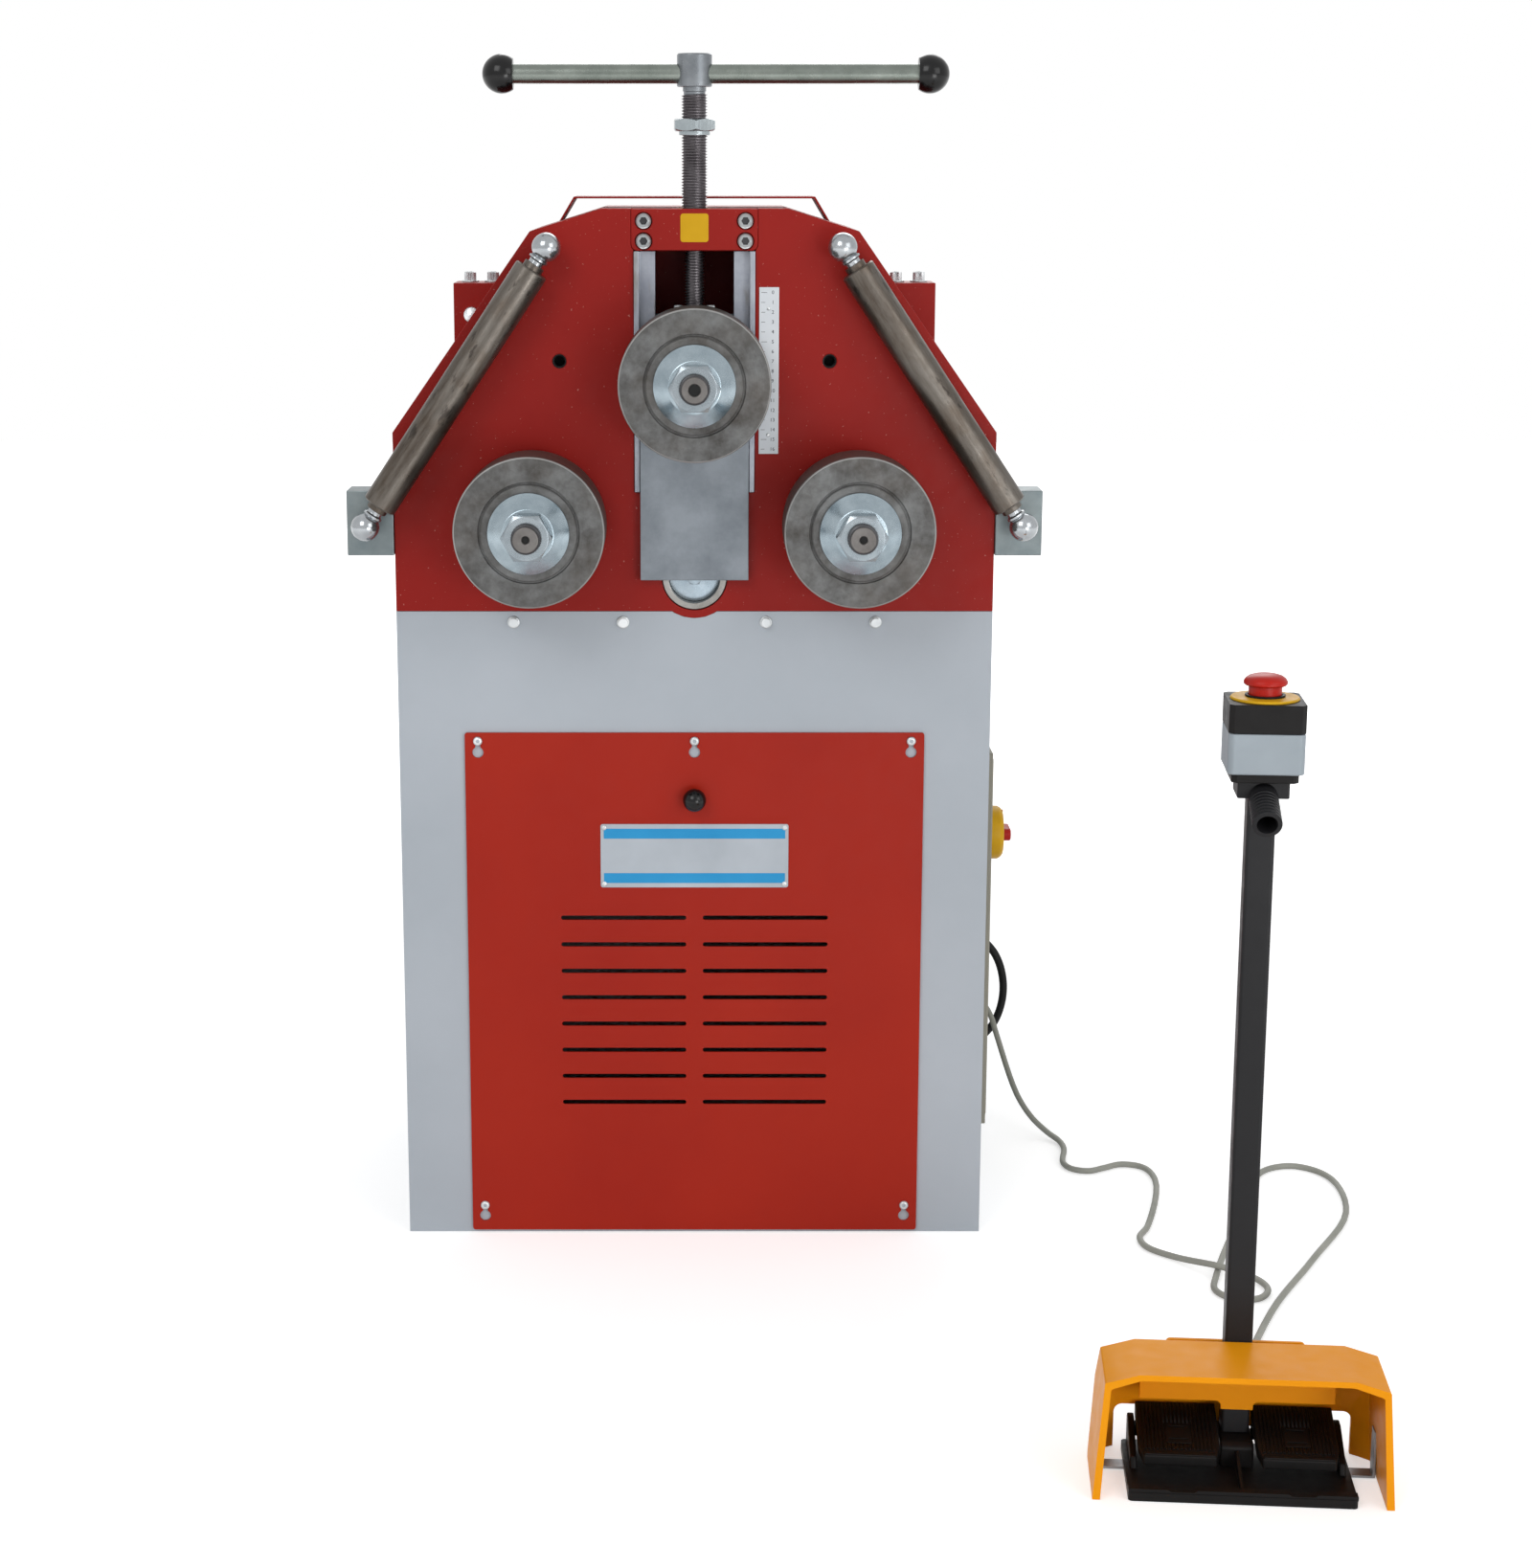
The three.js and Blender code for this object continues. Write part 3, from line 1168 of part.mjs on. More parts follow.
function treadle(side) {
  const inner = ridgeHalf + treadleGap;
  const outer = inner + treadleWidth;
  const x0 = Math.min(side * inner, side * outer);
  const x1 = Math.max(side * inner, side * outer);
  const section = [
    [treadleFront, treadleFrontLow], [treadleRear, treadleRearLow],
    [treadleRear, treadleRearHigh], [treadleFront, treadleFrontHigh],
  ];
  return cut(
    join(
      sidePlate(section, x0, x1),
      rod('x', hingeBarrelRadius, x0, x1, smallSides).translate(0, hingeY, hingeZ)),
    rod('x', hingePinRadius + runGap, x0 - overrun, x1 + overrun, smallSides).translate(0, hingeY, hingeZ));
}

// Metal strap that passes under the base in a groove and turns up inside the hood's wings
function hoodStrap() {
  const lean = (hoodFootHalf - hoodShoulderHalf) / hoodShoulderHeight;
  const half = hoodFootHalf - hoodSheet - lean * (strapHeight + hoodSheet) - seatGap;
  const line = [[-half, strapHeight], [-half, strapLift], [half, strapLift], [half, strapHeight]];
  return frontPlate(ribbon(line, strapSheet), strapFront, strapFront + strapWidth);
}

// Square pole on the base's ridge, with the clamp and the short tube under the stop box
function standPole() {
  const half = poleWidth / 2;
  const bottom = ridgeHeight + seatGap;
  const clampBottom = poleTop + seatGap - clampHeight;
  const slope = THREE.MathUtils.degToRad(tubeSlope);
  const tubeY = poleY - clampDepth / 2 + tubeRadius * Math.tan(slope);
  const sloped = (body) => body.rotateX(slope).translate(0, tubeY, clampBottom + clampHeight - tubeRadius);
  const tube = cut(
    sloped(rod('y', tubeRadius, -tubeLength, 0)),
    sloped(rod('y', tubeBore, -tubeLength - overrun, tubeBoreDepth - tubeLength, smallSides)));
  return join(
    cut(
      block(-half, half, poleY - half, poleY + half, bottom, poleTop),
      block(-half + poleWall, half - poleWall, poleY - half + poleWall, poleY + half - poleWall,
        bottom - overrun, poleTop - poleWall)),
    cut(
      block(-clampHalf, clampHalf, poleY - clampDepth / 2, poleY + clampDepth / 2, clampBottom,
        clampBottom + clampHeight),
      block(-half + poleWall, half - poleWall, poleY - half + poleWall, poleY + half - poleWall,
        clampBottom - overrun, poleTop - poleWall)),
    tube);
}

// Stop box, lid with its ring, and the mushroom button that travels in the lid
function buildStop() {
  const flangeTop = stopFlangeHeight;
  const boxTop = flangeTop + stopBoxHeight;
  const lidBottom = boxTop + seatGap;
  const lidTop = lidBottom + stopLidHeight;
  const box = join(
    floorPlate(chamferedSquare(stopFlangeHalf, stopChamfer), 0, flangeTop + overrun),
    floorPlate(chamferedSquare(stopHalf, stopChamfer), flangeTop, boxTop));
  const ringTop = lidTop + stopRingThick;
  const lid = cut(
    join(
      floorPlate(chamferedSquare(stopHalf, stopChamfer), lidBottom, lidTop),
      rod('z', stopRingRadius, lidTop - overrun, ringTop)),
    rod('z', stopStemRadius + runGap, lidBottom - overrun, ringTop + overrun));
  const capBottom = ringTop + stopCapGap;
  const cap = stopCapShares.map(([wide, up]) => [stopCapRadius * wide, capBottom + stopCapThick * up]);
  const button = turned([
    [0, capBottom - stopStemLength], [stopStemRadius, capBottom - stopStemLength],
    [stopStemRadius, capBottom], ...cap, [0, capBottom + stopCapThick],
  ], 'z');
  const group = new THREE.Group();
  group.position.set(0, poleY, poleTop + 2 * seatGap);
  group.add(
    piece('stop_box', box, 'lightPlastic'),
    piece('stop_lid', lid, 'blackPlastic'),
    piece('stop_button', button, 'redPlastic'),
  );
  return group;
}

// Foot-pedal unit, turned a little on the floor in front of the machine's right side
function buildPedalUnit() {
  const group = new THREE.Group();
  group.position.set(pedalX, pedalFront, 0);
  group.rotation.z = THREE.MathUtils.degToRad(pedalTurn);
  group.add(
    piece('pedal_base', pedalBase(), 'blackPlastic'),
    piece('treadle_left', treadle(-1), 'blackPlastic'),
    piece('treadle_right', treadle(1), 'blackPlastic'),
    piece('pedal_hood', pedalHood(), 'orangePaint'),
    piece('hood_strap', hoodStrap(), 'zinc'),
    piece('stand_pole', standPole(), 'blackPaint'),
    buildStop(),
  );
  return group;
}

const ringRoller = new THREE.Group();
ringRoller.add(
  buildCabinet(),
  buildServicePanel(),
  buildHeadShell(),
  buildGuides(),
  buildSlide(),
  buildDriveTrain(),
  buildDriveUnit(),
  buildSideRolls(),
  buildElectrics(),
  buildControlCable(),
  buildPedalUnit(),
);

export default ringRoller;
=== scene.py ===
import math

import bpy
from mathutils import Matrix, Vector


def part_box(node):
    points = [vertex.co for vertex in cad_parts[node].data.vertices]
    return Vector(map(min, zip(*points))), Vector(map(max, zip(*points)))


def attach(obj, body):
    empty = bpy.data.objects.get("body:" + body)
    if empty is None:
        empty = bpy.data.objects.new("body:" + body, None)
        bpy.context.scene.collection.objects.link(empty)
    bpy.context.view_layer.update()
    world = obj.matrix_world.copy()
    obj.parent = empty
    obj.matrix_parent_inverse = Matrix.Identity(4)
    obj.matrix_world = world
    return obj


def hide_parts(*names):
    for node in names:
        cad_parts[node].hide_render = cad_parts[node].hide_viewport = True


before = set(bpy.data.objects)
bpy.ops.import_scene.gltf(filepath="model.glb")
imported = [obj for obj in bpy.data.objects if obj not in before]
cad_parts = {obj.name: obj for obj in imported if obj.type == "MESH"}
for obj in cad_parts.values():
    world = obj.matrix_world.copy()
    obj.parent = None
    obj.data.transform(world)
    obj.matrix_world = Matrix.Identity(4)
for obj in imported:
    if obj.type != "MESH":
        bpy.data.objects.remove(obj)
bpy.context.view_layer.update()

# Shared values, in metres and radians, but with the angles between faces in degrees
MERGE = 1e-6
ROUND = 2 * math.pi
SHARP, SMOOTH, FLAT = 35, 50, 0.5
OVERRUN = 0.01
AXIS_TURNS = {"X": (0, math.pi / 2, 0), "Y": (-math.pi / 2, 0, 0), "Z": (0, 0, 0)}
FORWARD = (math.pi / 2, 0, 0)
SIDES = (("left", -1), ("right", 1))
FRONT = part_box("head_front_plate")[0].y
CABINET_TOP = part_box("cabinet_front")[1].z
GAP = 0.0003


def middle(node):
    """Centre of a node's box."""
    low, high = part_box(node)
    return (low + high) / 2


# Shaping


def pick_nothing():
    bpy.ops.object.select_all(action="DESELECT")


def pick(*pieces):
    """Selects only these pieces, the first one active."""
    pick_nothing()
    for piece in pieces:
        piece.select_set(True)
    bpy.context.view_layer.objects.active = pieces[0]
    return pieces[0]


def place(piece, at=(0, 0, 0), turn=(0, 0, 0)):
    """Moves and turns a piece and puts that into its mesh."""
    pick(piece)
    piece.location = Vector(piece.location) + Vector(at)
    piece.rotation_euler = turn
    bpy.ops.object.transform_apply(location=True, rotation=True, scale=True)
    return piece


def apply_modifier(piece, kind, **values):
    """Puts a modifier on a piece and applies it at once."""
    pick(piece)
    modifier = piece.modifiers.new("shaping", kind)
    for key, value in values.items():
        setattr(modifier, key, value)
    bpy.ops.object.modifier_apply(modifier=modifier.name)
    return piece


def round_edges(piece, width=0.0005, segments=2, limit=SHARP):
    """Rounds the edges that are sharper than the limit in degrees, and smooths the faces."""
    if width:
        apply_modifier(piece, "BEVEL", width=width, segments=segments, limit_method="ANGLE",
                       angle_limit=math.radians(limit))
    pick(piece)
    bpy.ops.object.shade_smooth_by_angle(angle=math.radians(SMOOTH))
    return apply_modifier(piece, "WEIGHTED_NORMAL", keep_sharp=True)


def draw(name, points):
    """A line of edges through the points, extruded from each to the next. It stays in edit mode."""
    pick_nothing()
    bpy.ops.mesh.primitive_plane_add(size=1)
    bpy.context.active_object.name = name
    bpy.ops.object.mode_set(mode="EDIT")
    bpy.ops.mesh.merge(type="CENTER")
    bpy.ops.transform.translate(value=points[0])
    for start, end in zip(points, points[1:]):
        step = Vector(end) - Vector(start)
        bpy.ops.mesh.extrude_vertices_move(TRANSFORM_OT_translate={"value": step})
    bpy.ops.mesh.select_all(action="SELECT")
    return bpy.context.active_object


def close_up():
    """Merges what meets in the edited mesh, points its faces outwards and leaves edit mode."""
    bpy.ops.mesh.select_all(action="SELECT")
    bpy.ops.mesh.remove_doubles(threshold=MERGE)
    bpy.ops.mesh.normals_make_consistent(inside=False)
    bpy.ops.object.mode_set(mode="OBJECT")


def turn(name, profile, at=(0, 0, 0), axis="Z", sides=96, edge=0.0004):
    """A turned piece from a profile of radius and distance along its axis."""
    piece = draw(name, [(radius, 0, along) for radius, along in profile])
    bpy.ops.mesh.spin(steps=sides, angle=ROUND, center=(0, 0, 0), axis=(0, 0, 1))
    close_up()
    place(piece, at, AXIS_TURNS.get(axis, axis))
    return round_edges(piece, edge)


def ring(name, inner, outer, start, end, at=(0, 0, 0), axis="Z"):
    """A plain ring, or a bush."""
    profile = [(inner, start), (outer, start), (outer, end), (inner, end), (inner, start)]
    return turn(name, profile, at, axis)


def rod(name, radius, start, end, at=(0, 0, 0), axis="Z", sides=64, edge=0):
    """A solid cylinder."""
    return turn(name, [(0, start), (radius, start), (radius, end), (0, end)], at, axis, sides, edge)


def plate(name, outline, start, end, facing="Y", edge=0.0005):
    """An outline filled and extruded along the axis that it faces."""
    order = {"X": (2, 0, 1), "Y": (0, 2, 1), "Z": (0, 1, 2)}[facing]
    seat = lambda *values: tuple(values[index] for index in order)
    piece = draw(name, [seat(across, up, start) for across, up in [*outline, outline[0]]])
    bpy.ops.mesh.remove_doubles(threshold=MERGE)
    bpy.ops.mesh.edge_face_add()
    bpy.ops.mesh.extrude_region_move(TRANSFORM_OT_translate={"value": seat(0, 0, end - start)})
    close_up()
    return round_edges(piece, edge)


def block(name, low, high, edge=0):
    """A box from its lowest to its highest corner."""
    pick_nothing()
    centre = (Vector(low) + Vector(high)) / 2
    bpy.ops.mesh.primitive_cube_add(size=1, location=centre, scale=Vector(high) - Vector(low))
    piece = bpy.context.active_object
    piece.name = name
    bpy.ops.object.transform_apply(location=True, rotation=True, scale=True)
    return round_edges(piece, edge)


def carve(piece, tool, operation="DIFFERENCE", folded=False):
    """Cuts, joins or trims a piece with a tool, which is used up. A folded mesh may cross itself."""
    apply_modifier(piece, "BOOLEAN", operation=operation, solver="EXACT", use_self=folded, object=tool)
    bpy.data.objects.remove(tool)
    return piece


def drill(piece, radius, start, end, at=(0, 0, 0), axis="Z"):
    """Cuts a round hole from one face to the other, and past both."""
    return carve(piece, rod("hole", radius, start - OVERRUN, end + OVERRUN, at, axis))


def join(name, *pieces):
    """One object of several separate solids."""
    pick(*pieces)
    bpy.ops.object.join()
    bpy.context.active_object.name = name
    return bpy.context.active_object


def repeat(name, piece, places):
    """Copies of a piece that was modelled at the origin, one at each place, as one object."""
    copies = []
    for spot in places:
        pick(piece)
        bpy.ops.object.duplicate(linked=False)
        copies.append(place(bpy.context.active_object, spot))
    bpy.data.objects.remove(piece)
    return join(name, *copies)


def arc(centre, radius, start, end, steps=12):
    """Points of an arc, with its angles in degrees."""
    angles = [math.radians(start + (end - start) * step / steps) for step in range(steps + 1)]
    return [(centre[0] + radius * math.cos(a), centre[1] + radius * math.sin(a)) for a in angles]


def rounded(half_width, half_height, radius, centre=(0, 0), steps=6):
    """Outline of a rectangle with round corners."""
    points = []
    for corner, (side, end) in enumerate([(1, 1), (-1, 1), (-1, -1), (1, -1)]):
        across = centre[0] + side * (half_width - radius)
        up = centre[1] + end * (half_height - radius)
        points += arc((across, up), radius, 90 * corner, 90 * corner + 90, steps)
    return points


def hexagon(across_flats):
    """Outline of a hexagon by its size across flats."""
    return arc((0, 0), across_flats / math.sqrt(3), 0, 300, 5)


def hex_nut(name, across_flats, start, end, bore=0, at=(0, 0, 0), axis="Z"):
    """A hexagonal nut, or a bolt head without a bore, with turned chamfers on its corners.

    The bar runs past both ends of the lens that trims it, so that no two faces lie in one plane."""
    nut = plate("nut", hexagon(across_flats), start - OVERRUN, end + OVERRUN, "Z", edge=0)
    flat = 0.48 * across_flats
    corner = 0.6 * across_flats
    fall = (corner - flat) * math.tan(math.radians(30))
    lens = [(0, start), (flat, start), (corner, start + fall), (corner, end - fall), (flat, end),
            (0, end)]
    carve(nut, turn("lens", lens, edge=0), "INTERSECT")
    if bore:
        drill(nut, bore, start, end)
    nut.name = name
    place(nut, at, AXIS_TURNS.get(axis, axis))
    return round_edges(nut, 0.0003, limit=25)


def cap_screw(radius, height, socket, toward=(0, 0, 0)):
    """A cap screw's knurled head with its hexagonal socket, standing on the origin.

    The bar runs past the top of the lens that trims it, and the lens past the bar's side and foot."""
    knurls = 40
    valley_share = 0.955
    outline = []
    for knurl in range(knurls):
        for share, spot in ((1, knurl), (valley_share, knurl + 0.5)):
            angle = spot * ROUND / knurls
            outline.append((radius * share * math.cos(angle), radius * share * math.sin(angle)))
    head = plate("cap_screw", outline, 0, height + OVERRUN, "Z", edge=0)
    bite = 0.16 * radius
    spare = 0.5 * bite
    lens = [(0, -spare), (radius + spare, -spare), (radius + spare, height - bite - spare),
            (radius - bite, height), (0, height)]
    carve(head, turn("lens", lens, sides=80, edge=0), "INTERSECT")
    carve(head, plate("socket", hexagon(socket), 0.35 * height, 2 * height, "Z", edge=0))
    round_edges(head, 0.00015, 1)
    return place(head, turn=toward)


def thread(name, radius, pitch, turns, at, axis="Z"):
    """A screw thread with flat crests, closed at its ends."""
    steps = 48
    root = radius - 0.61 * pitch
    tooth = [(root, 0), (root, pitch / 4), (radius, 9 * pitch / 16), (radius, 11 * pitch / 16),
             (root, pitch)]
    piece = draw(name, [(wide, 0, up) for wide, up in tooth])
    bpy.ops.object.mode_set(mode="OBJECT")
    apply_modifier(piece, "SCREW", axis="Z", angle=ROUND, screw_offset=pitch, iterations=turns,
                   steps=steps, render_steps=steps, use_merge_vertices=True, merge_threshold=MERGE)
    bpy.ops.object.mode_set(mode="EDIT")
    bpy.ops.mesh.select_all(action="SELECT")
    bpy.ops.mesh.remove_doubles(threshold=MERGE)
    bpy.ops.mesh.fill_holes(sides=0)
    close_up()
    place(piece, at, AXIS_TURNS[axis])
    return round_edges(piece, 0)


def settle(piece, body, material, slot, *nodes):
    """Gives a piece its body, its finish and the nodes that it stands for."""
    piece.data.materials.clear()
    piece.data.materials.append(material)
    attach(piece, body)
    if nodes:
        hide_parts(*nodes)
    return piece


def dress(node, material, width=0.0006):
    """Paints a node that stays, and softens its edges."""
    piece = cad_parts[node]
    for index in range(len(piece.material_slots)):
        piece.material_slots[index].material = material
    if width:
        weld = piece.modifiers.new("weld", "WELD")
        weld.merge_threshold = MERGE
        flatten = piece.modifiers.new("flatten", "DECIMATE")
        flatten.decimate_type = "DISSOLVE"
        flatten.angle_limit = math.radians(FLAT)
        edge = piece.modifiers.new("edge", "BEVEL")
        edge.width = width
        edge.segments = 2
        edge.limit_method = "ANGLE"
        edge.angle_limit = math.radians(SHARP)


# Finishes


def linear(red, green, blue):
    """A screen colour from 0 to 255 as the shader's linear colour."""
    shares = [value / 255 for value in (red, green, blue)]
    curve = [((share + 0.055) / 1.055) ** 2.4 if share > 0.04045 else share / 12.92 for share in shares]
    return (*curve, 1)


class Finish:
    """A material whose colour, gloss and relief come from nodes in object coordinates."""

    def __init__(self, name, roughness, metallic=0.0, shine=0.5):
        self.material = bpy.data.materials.new(name)
        self.material.use_nodes = True
        self.tree = self.material.node_tree
        self.shader = self.tree.nodes["Principled BSDF"]
        self.shader.inputs["Roughness"].default_value = roughness
        self.shader.inputs["Metallic"].default_value = metallic
        self.shader.inputs["Specular IOR Level"].default_value = shine
        self.place = self.add("ShaderNodeTexCoord").outputs["Object"]
        self.height = None

    def add(self, kind, links=(), **values):
        """A node with its inputs linked. Values set its sockets, or else its own properties."""
        node = self.tree.nodes.new(kind)
        for key, value in values.items():
            socket = key.replace("_", " ")
            if socket in node.inputs:
                node.inputs[socket].default_value = value
            else:
                setattr(node, key, value)
        for socket, source in dict(links).items():
            self.tree.links.new(source, node.inputs[socket])
        return node

    def noise(self, scale, detail=4.0, stretch=(1, 1, 1), rough=0.55, lean=None):
        """Noise with so many waves to the metre. Stretch multiplies the waves along each axis, or
        divides them where the axes lean."""
        lying = {"vector_type": "TEXTURE", "Rotation": lean} if lean else {}
        spread = self.add("ShaderNodeMapping", {"Vector": self.place}, **lying, Scale=stretch)
        texture = self.add("ShaderNodeTexNoise", {"Vector": spread.outputs[0]}, Scale=scale,
                           Detail=detail, Roughness=rough)
        return texture.outputs[0]

    def rings(self, centre, axis, scale, wobble=0.0):
        """Turning marks round an axis through a centre."""
        shift = tuple(-value for value in centre)
        centred = self.add("ShaderNodeMapping", {"Vector": self.place}, Location=shift)
        wave = self.add("ShaderNodeTexWave", {"Vector": centred.outputs[0]}, Scale=scale,
                        Distortion=wobble, wave_type="RINGS", rings_direction=axis)
        return wave.outputs["Fac"]

    def reach(self, centre, axis):
        """Distance from an axis through a centre."""
        flat = tuple(0 if name == axis else 1 for name in "XYZ")
        shift = tuple(-value * share for value, share in zip(centre, flat))
        across = self.add("ShaderNodeMapping", {"Vector": self.place}, Location=shift, Scale=flat)
        length = self.add("ShaderNodeVectorMath", {"Vector": across.outputs[0]}, operation="LENGTH")
        return length.outputs["Value"]

    def brush(self, axis, share):
        """Fine turning marks that spread the highlights out from the axis of a round piece."""
        tangent = self.add("ShaderNodeTangent", direction_type="RADIAL", axis=axis)
        self.tree.links.new(tangent.outputs[0], self.shader.inputs["Tangent"])
        self.shader.inputs["Anisotropic"].default_value = share

    def colour(self, factor, *stops):
        """Colour from a ramp of places and screen colours."""
        ramp = self.add("ShaderNodeValToRGB", {"Fac": factor})
        elements = ramp.color_ramp.elements
        while len(elements) < len(stops):
            elements.new(1)
        for element, (spot, shade) in zip(elements, stops):
            element.position = spot
            element.color = linear(*shade)
        self.tree.links.new(ramp.outputs[0], self.shader.inputs["Base Color"])
        return ramp.outputs[0]

    def over(self, under, factor, shade):
        """Lays another colour over one, by a factor."""
        mix = self.add("ShaderNodeMix", data_type="RGBA")
        colours = [socket for socket in mix.inputs if socket.type == "RGBA"]
        self.tree.links.new(factor, mix.inputs[0])
        self.tree.links.new(under, colours[0])
        colours[1].default_value = linear(*shade)
        result = [socket for socket in mix.outputs if socket.type == "RGBA"][0]
        self.tree.links.new(result, self.shader.inputs["Base Color"])
        return result

    def level(self, factor, low, high, out_low=0.0, out_high=1.0):
        """A factor's part from low to high, spread over another range."""
        node = self.add("ShaderNodeMapRange", {"Value": factor}, From_Min=low, From_Max=high,
                        To_Min=out_low, To_Max=out_high)
        return node.outputs[0]

    def gloss(self, factor, low, high):
        """Roughness from low to high, by a factor."""
        self.tree.links.new(self.level(factor, 0.3, 0.7, low, high), self.shader.inputs["Roughness"])

    def relief(self, factor, depth, strength=0.3):
        """Bump of a depth in metres, on top of what is there."""
        bump = self.add("ShaderNodeBump", {"Height": factor}, Strength=strength, Distance=depth)
        if self.height:
            self.tree.links.new(self.height, bump.inputs["Normal"])
        self.height = bump.outputs[0]
        self.tree.links.new(self.height, self.shader.inputs["Normal"])


def paint(name, dark, light, roughness, specks=None, shine=0.2):
    """Sprayed paint: a soft change of tone, a fine skin and, on some, pale specks."""
    finish = Finish(name, roughness, shine=shine)
    tone = finish.colour(finish.noise(3.2, 5), (0.3, dark), (0.7, light))
    if specks:
        dust = finish.level(finish.noise(300, 2), 0.69, 0.73, 0, 0.55)
        finish.over(tone, dust, specks)
    finish.gloss(finish.noise(60, 3), roughness - 0.06, roughness + 0.08)
    finish.relief(finish.noise(900, 3), 0.0002, 0.25)
    finish.relief(finish.noise(40, 2), 0.0008, 0.06)
    return finish.material


def ground_steel(name, dark, light, stain=None, grain=(1, 1, 0.06)):
    """Ground steel: fine lines along one way, patches and, on some, brown stains."""
    finish = Finish(name, 0.42, 0.85)
    patches = finish.colour(finish.noise(22, 6, rough=0.65), (0.32, dark), (0.66, light))
    if stain:
        marks = finish.level(finish.noise(34, 5, (1, 1, 0.22)), 0.52, 0.66, 0, 0.8)
        finish.over(patches, marks, stain)
    finish.gloss(finish.noise(35, 5), 0.34, 0.52)
    finish.relief(finish.noise(900, 3, grain), 0.0002, 0.22)
    return finish.material


def turned_steel(name, centre, axis, dark, light, roughness=0.3, mark=0.3, brushed=0.0):
    """Turned metal: rings round the piece's own axis, with faint patches."""
    metallic = 0.9
    finish = Finish(name, roughness, metallic)
    finish.colour(finish.noise(34, 6, rough=0.65), (0.3, dark), (0.68, light))
    finish.gloss(finish.noise(50, 4), roughness - 0.07, roughness + 0.09)
    finish.relief(finish.rings(centre, axis, 260, 1.5), 0.0003, mark)
    if brushed:
        finish.brush(axis, brushed)
    return finish.material


def plastic(name, dark, light, roughness, strength=0.15, shine=0.2):
    """Moulded plastic with a fine grain."""
    grain = 1400
    finish = Finish(name, roughness, shine=shine)
    finish.colour(finish.noise(12, 4), (0.3, dark), (0.7, light))
    finish.gloss(finish.noise(80, 3), roughness - 0.06, roughness + 0.1)
    finish.relief(finish.noise(grain, 2), 0.0002, strength)
    return finish.material


red_paint = paint("red_paint", (136, 15, 8), (152, 24, 16), 0.42, specks=(206, 150, 140))
panel_paint = paint("panel_paint", (155, 27, 11), (168, 36, 15), 0.4)
cabinet_paint = paint("cabinet_paint", (166, 174, 182), (179, 186, 194), 0.5, shine=0.5)
enclosure_paint = paint("enclosure_paint", (140, 137, 124), (153, 150, 138), 0.52, shine=0.3)
orange_paint = paint("orange_paint", (226, 142, 10), (240, 156, 18), 0.38, shine=0.1)
black_paint = paint("black_paint", (22, 22, 24), (32, 32, 34), 0.42)
rail_steel = ground_steel("rail_steel", (130, 134, 144), (158, 162, 170), stain=(104, 92, 70))
apron_steel = ground_steel("apron_steel", (102, 108, 114), (122, 128, 134))
block_steel = ground_steel("block_steel", (104, 114, 117), (123, 131, 132), grain=(0.06, 1, 1))
cast_iron = paint("cast_iron", (70, 72, 76), (88, 90, 94), 0.6)
strap_steel = ground_steel("strap_steel", (132, 136, 140), (160, 164, 168), grain=(0.06, 1, 1))
black_plastic = plastic("black_plastic", (13, 13, 13), (23, 21, 21), 0.42, shine=0.14)
black_gloss = plastic("black_gloss", (8, 8, 9), (12, 12, 13), 0.16, strength=0.03, shine=0.3)
yellow_plastic = plastic("yellow_plastic", (202, 154, 16), (220, 172, 26), 0.38)
red_plastic = plastic("red_plastic", (166, 24, 15), (184, 34, 24), 0.34)
light_plastic = plastic("light_plastic", (140, 150, 157), (154, 163, 170), 0.5, shine=0.4)
rubber = plastic("rubber", (14, 14, 14), (22, 22, 22), 0.55)
grey_cable = plastic("grey_cable", (142, 143, 135), (160, 160, 152), 0.5)
strip_print = plastic("strip_print", (214, 220, 226), (228, 232, 236), 0.4)
ink = plastic("ink", (22, 24, 44), (32, 34, 54), 0.5)
blue_print = plastic("blue_print", (42, 144, 200), (52, 156, 212), 0.4)
plate_metal = plastic("plate_metal", (172, 180, 188), (188, 196, 204), 0.4)
fastener = ground_steel("fastener", (182, 186, 188), (212, 215, 216))
dark_fastener = ground_steel("dark_fastener", (54, 54, 56), (78, 78, 80))
bronze = ground_steel("bronze", (150, 108, 58), (176, 132, 76))


# Camera at the photograph's place, plain studio and lamps


def add_camera():
    """The camera that was fitted to the photograph."""
    focal_pixels = 2977
    photo_height = 1638
    sensor = 36
    data = bpy.data.cameras.new("camera")
    data.sensor_width = sensor
    data.lens = sensor * focal_pixels / photo_height
    data.shift_x = 0.0456
    camera = bpy.data.objects.new("camera", data)
    downward_tilt = 12.26
    camera.location = (0, -3.25, 1.1622)
    camera.rotation_euler = (math.radians(90 - downward_tilt), 0, 0)
    bpy.context.collection.objects.link(camera)
    bpy.context.scene.camera = camera


def seen_ray(tree):
    """Factor of 1 where a ray comes from the camera, a reflection or glass."""
    path = tree.nodes.new("ShaderNodeLightPath")
    total = path.outputs["Is Camera Ray"]
    for name in ("Is Glossy Ray", "Is Transmission Ray"):
        either = tree.nodes.new("ShaderNodeMath")
        either.operation = "MAXIMUM"
        tree.links.new(total, either.inputs[0])
        tree.links.new(path.outputs[name], either.inputs[1])
        total = either.outputs[0]
    return total


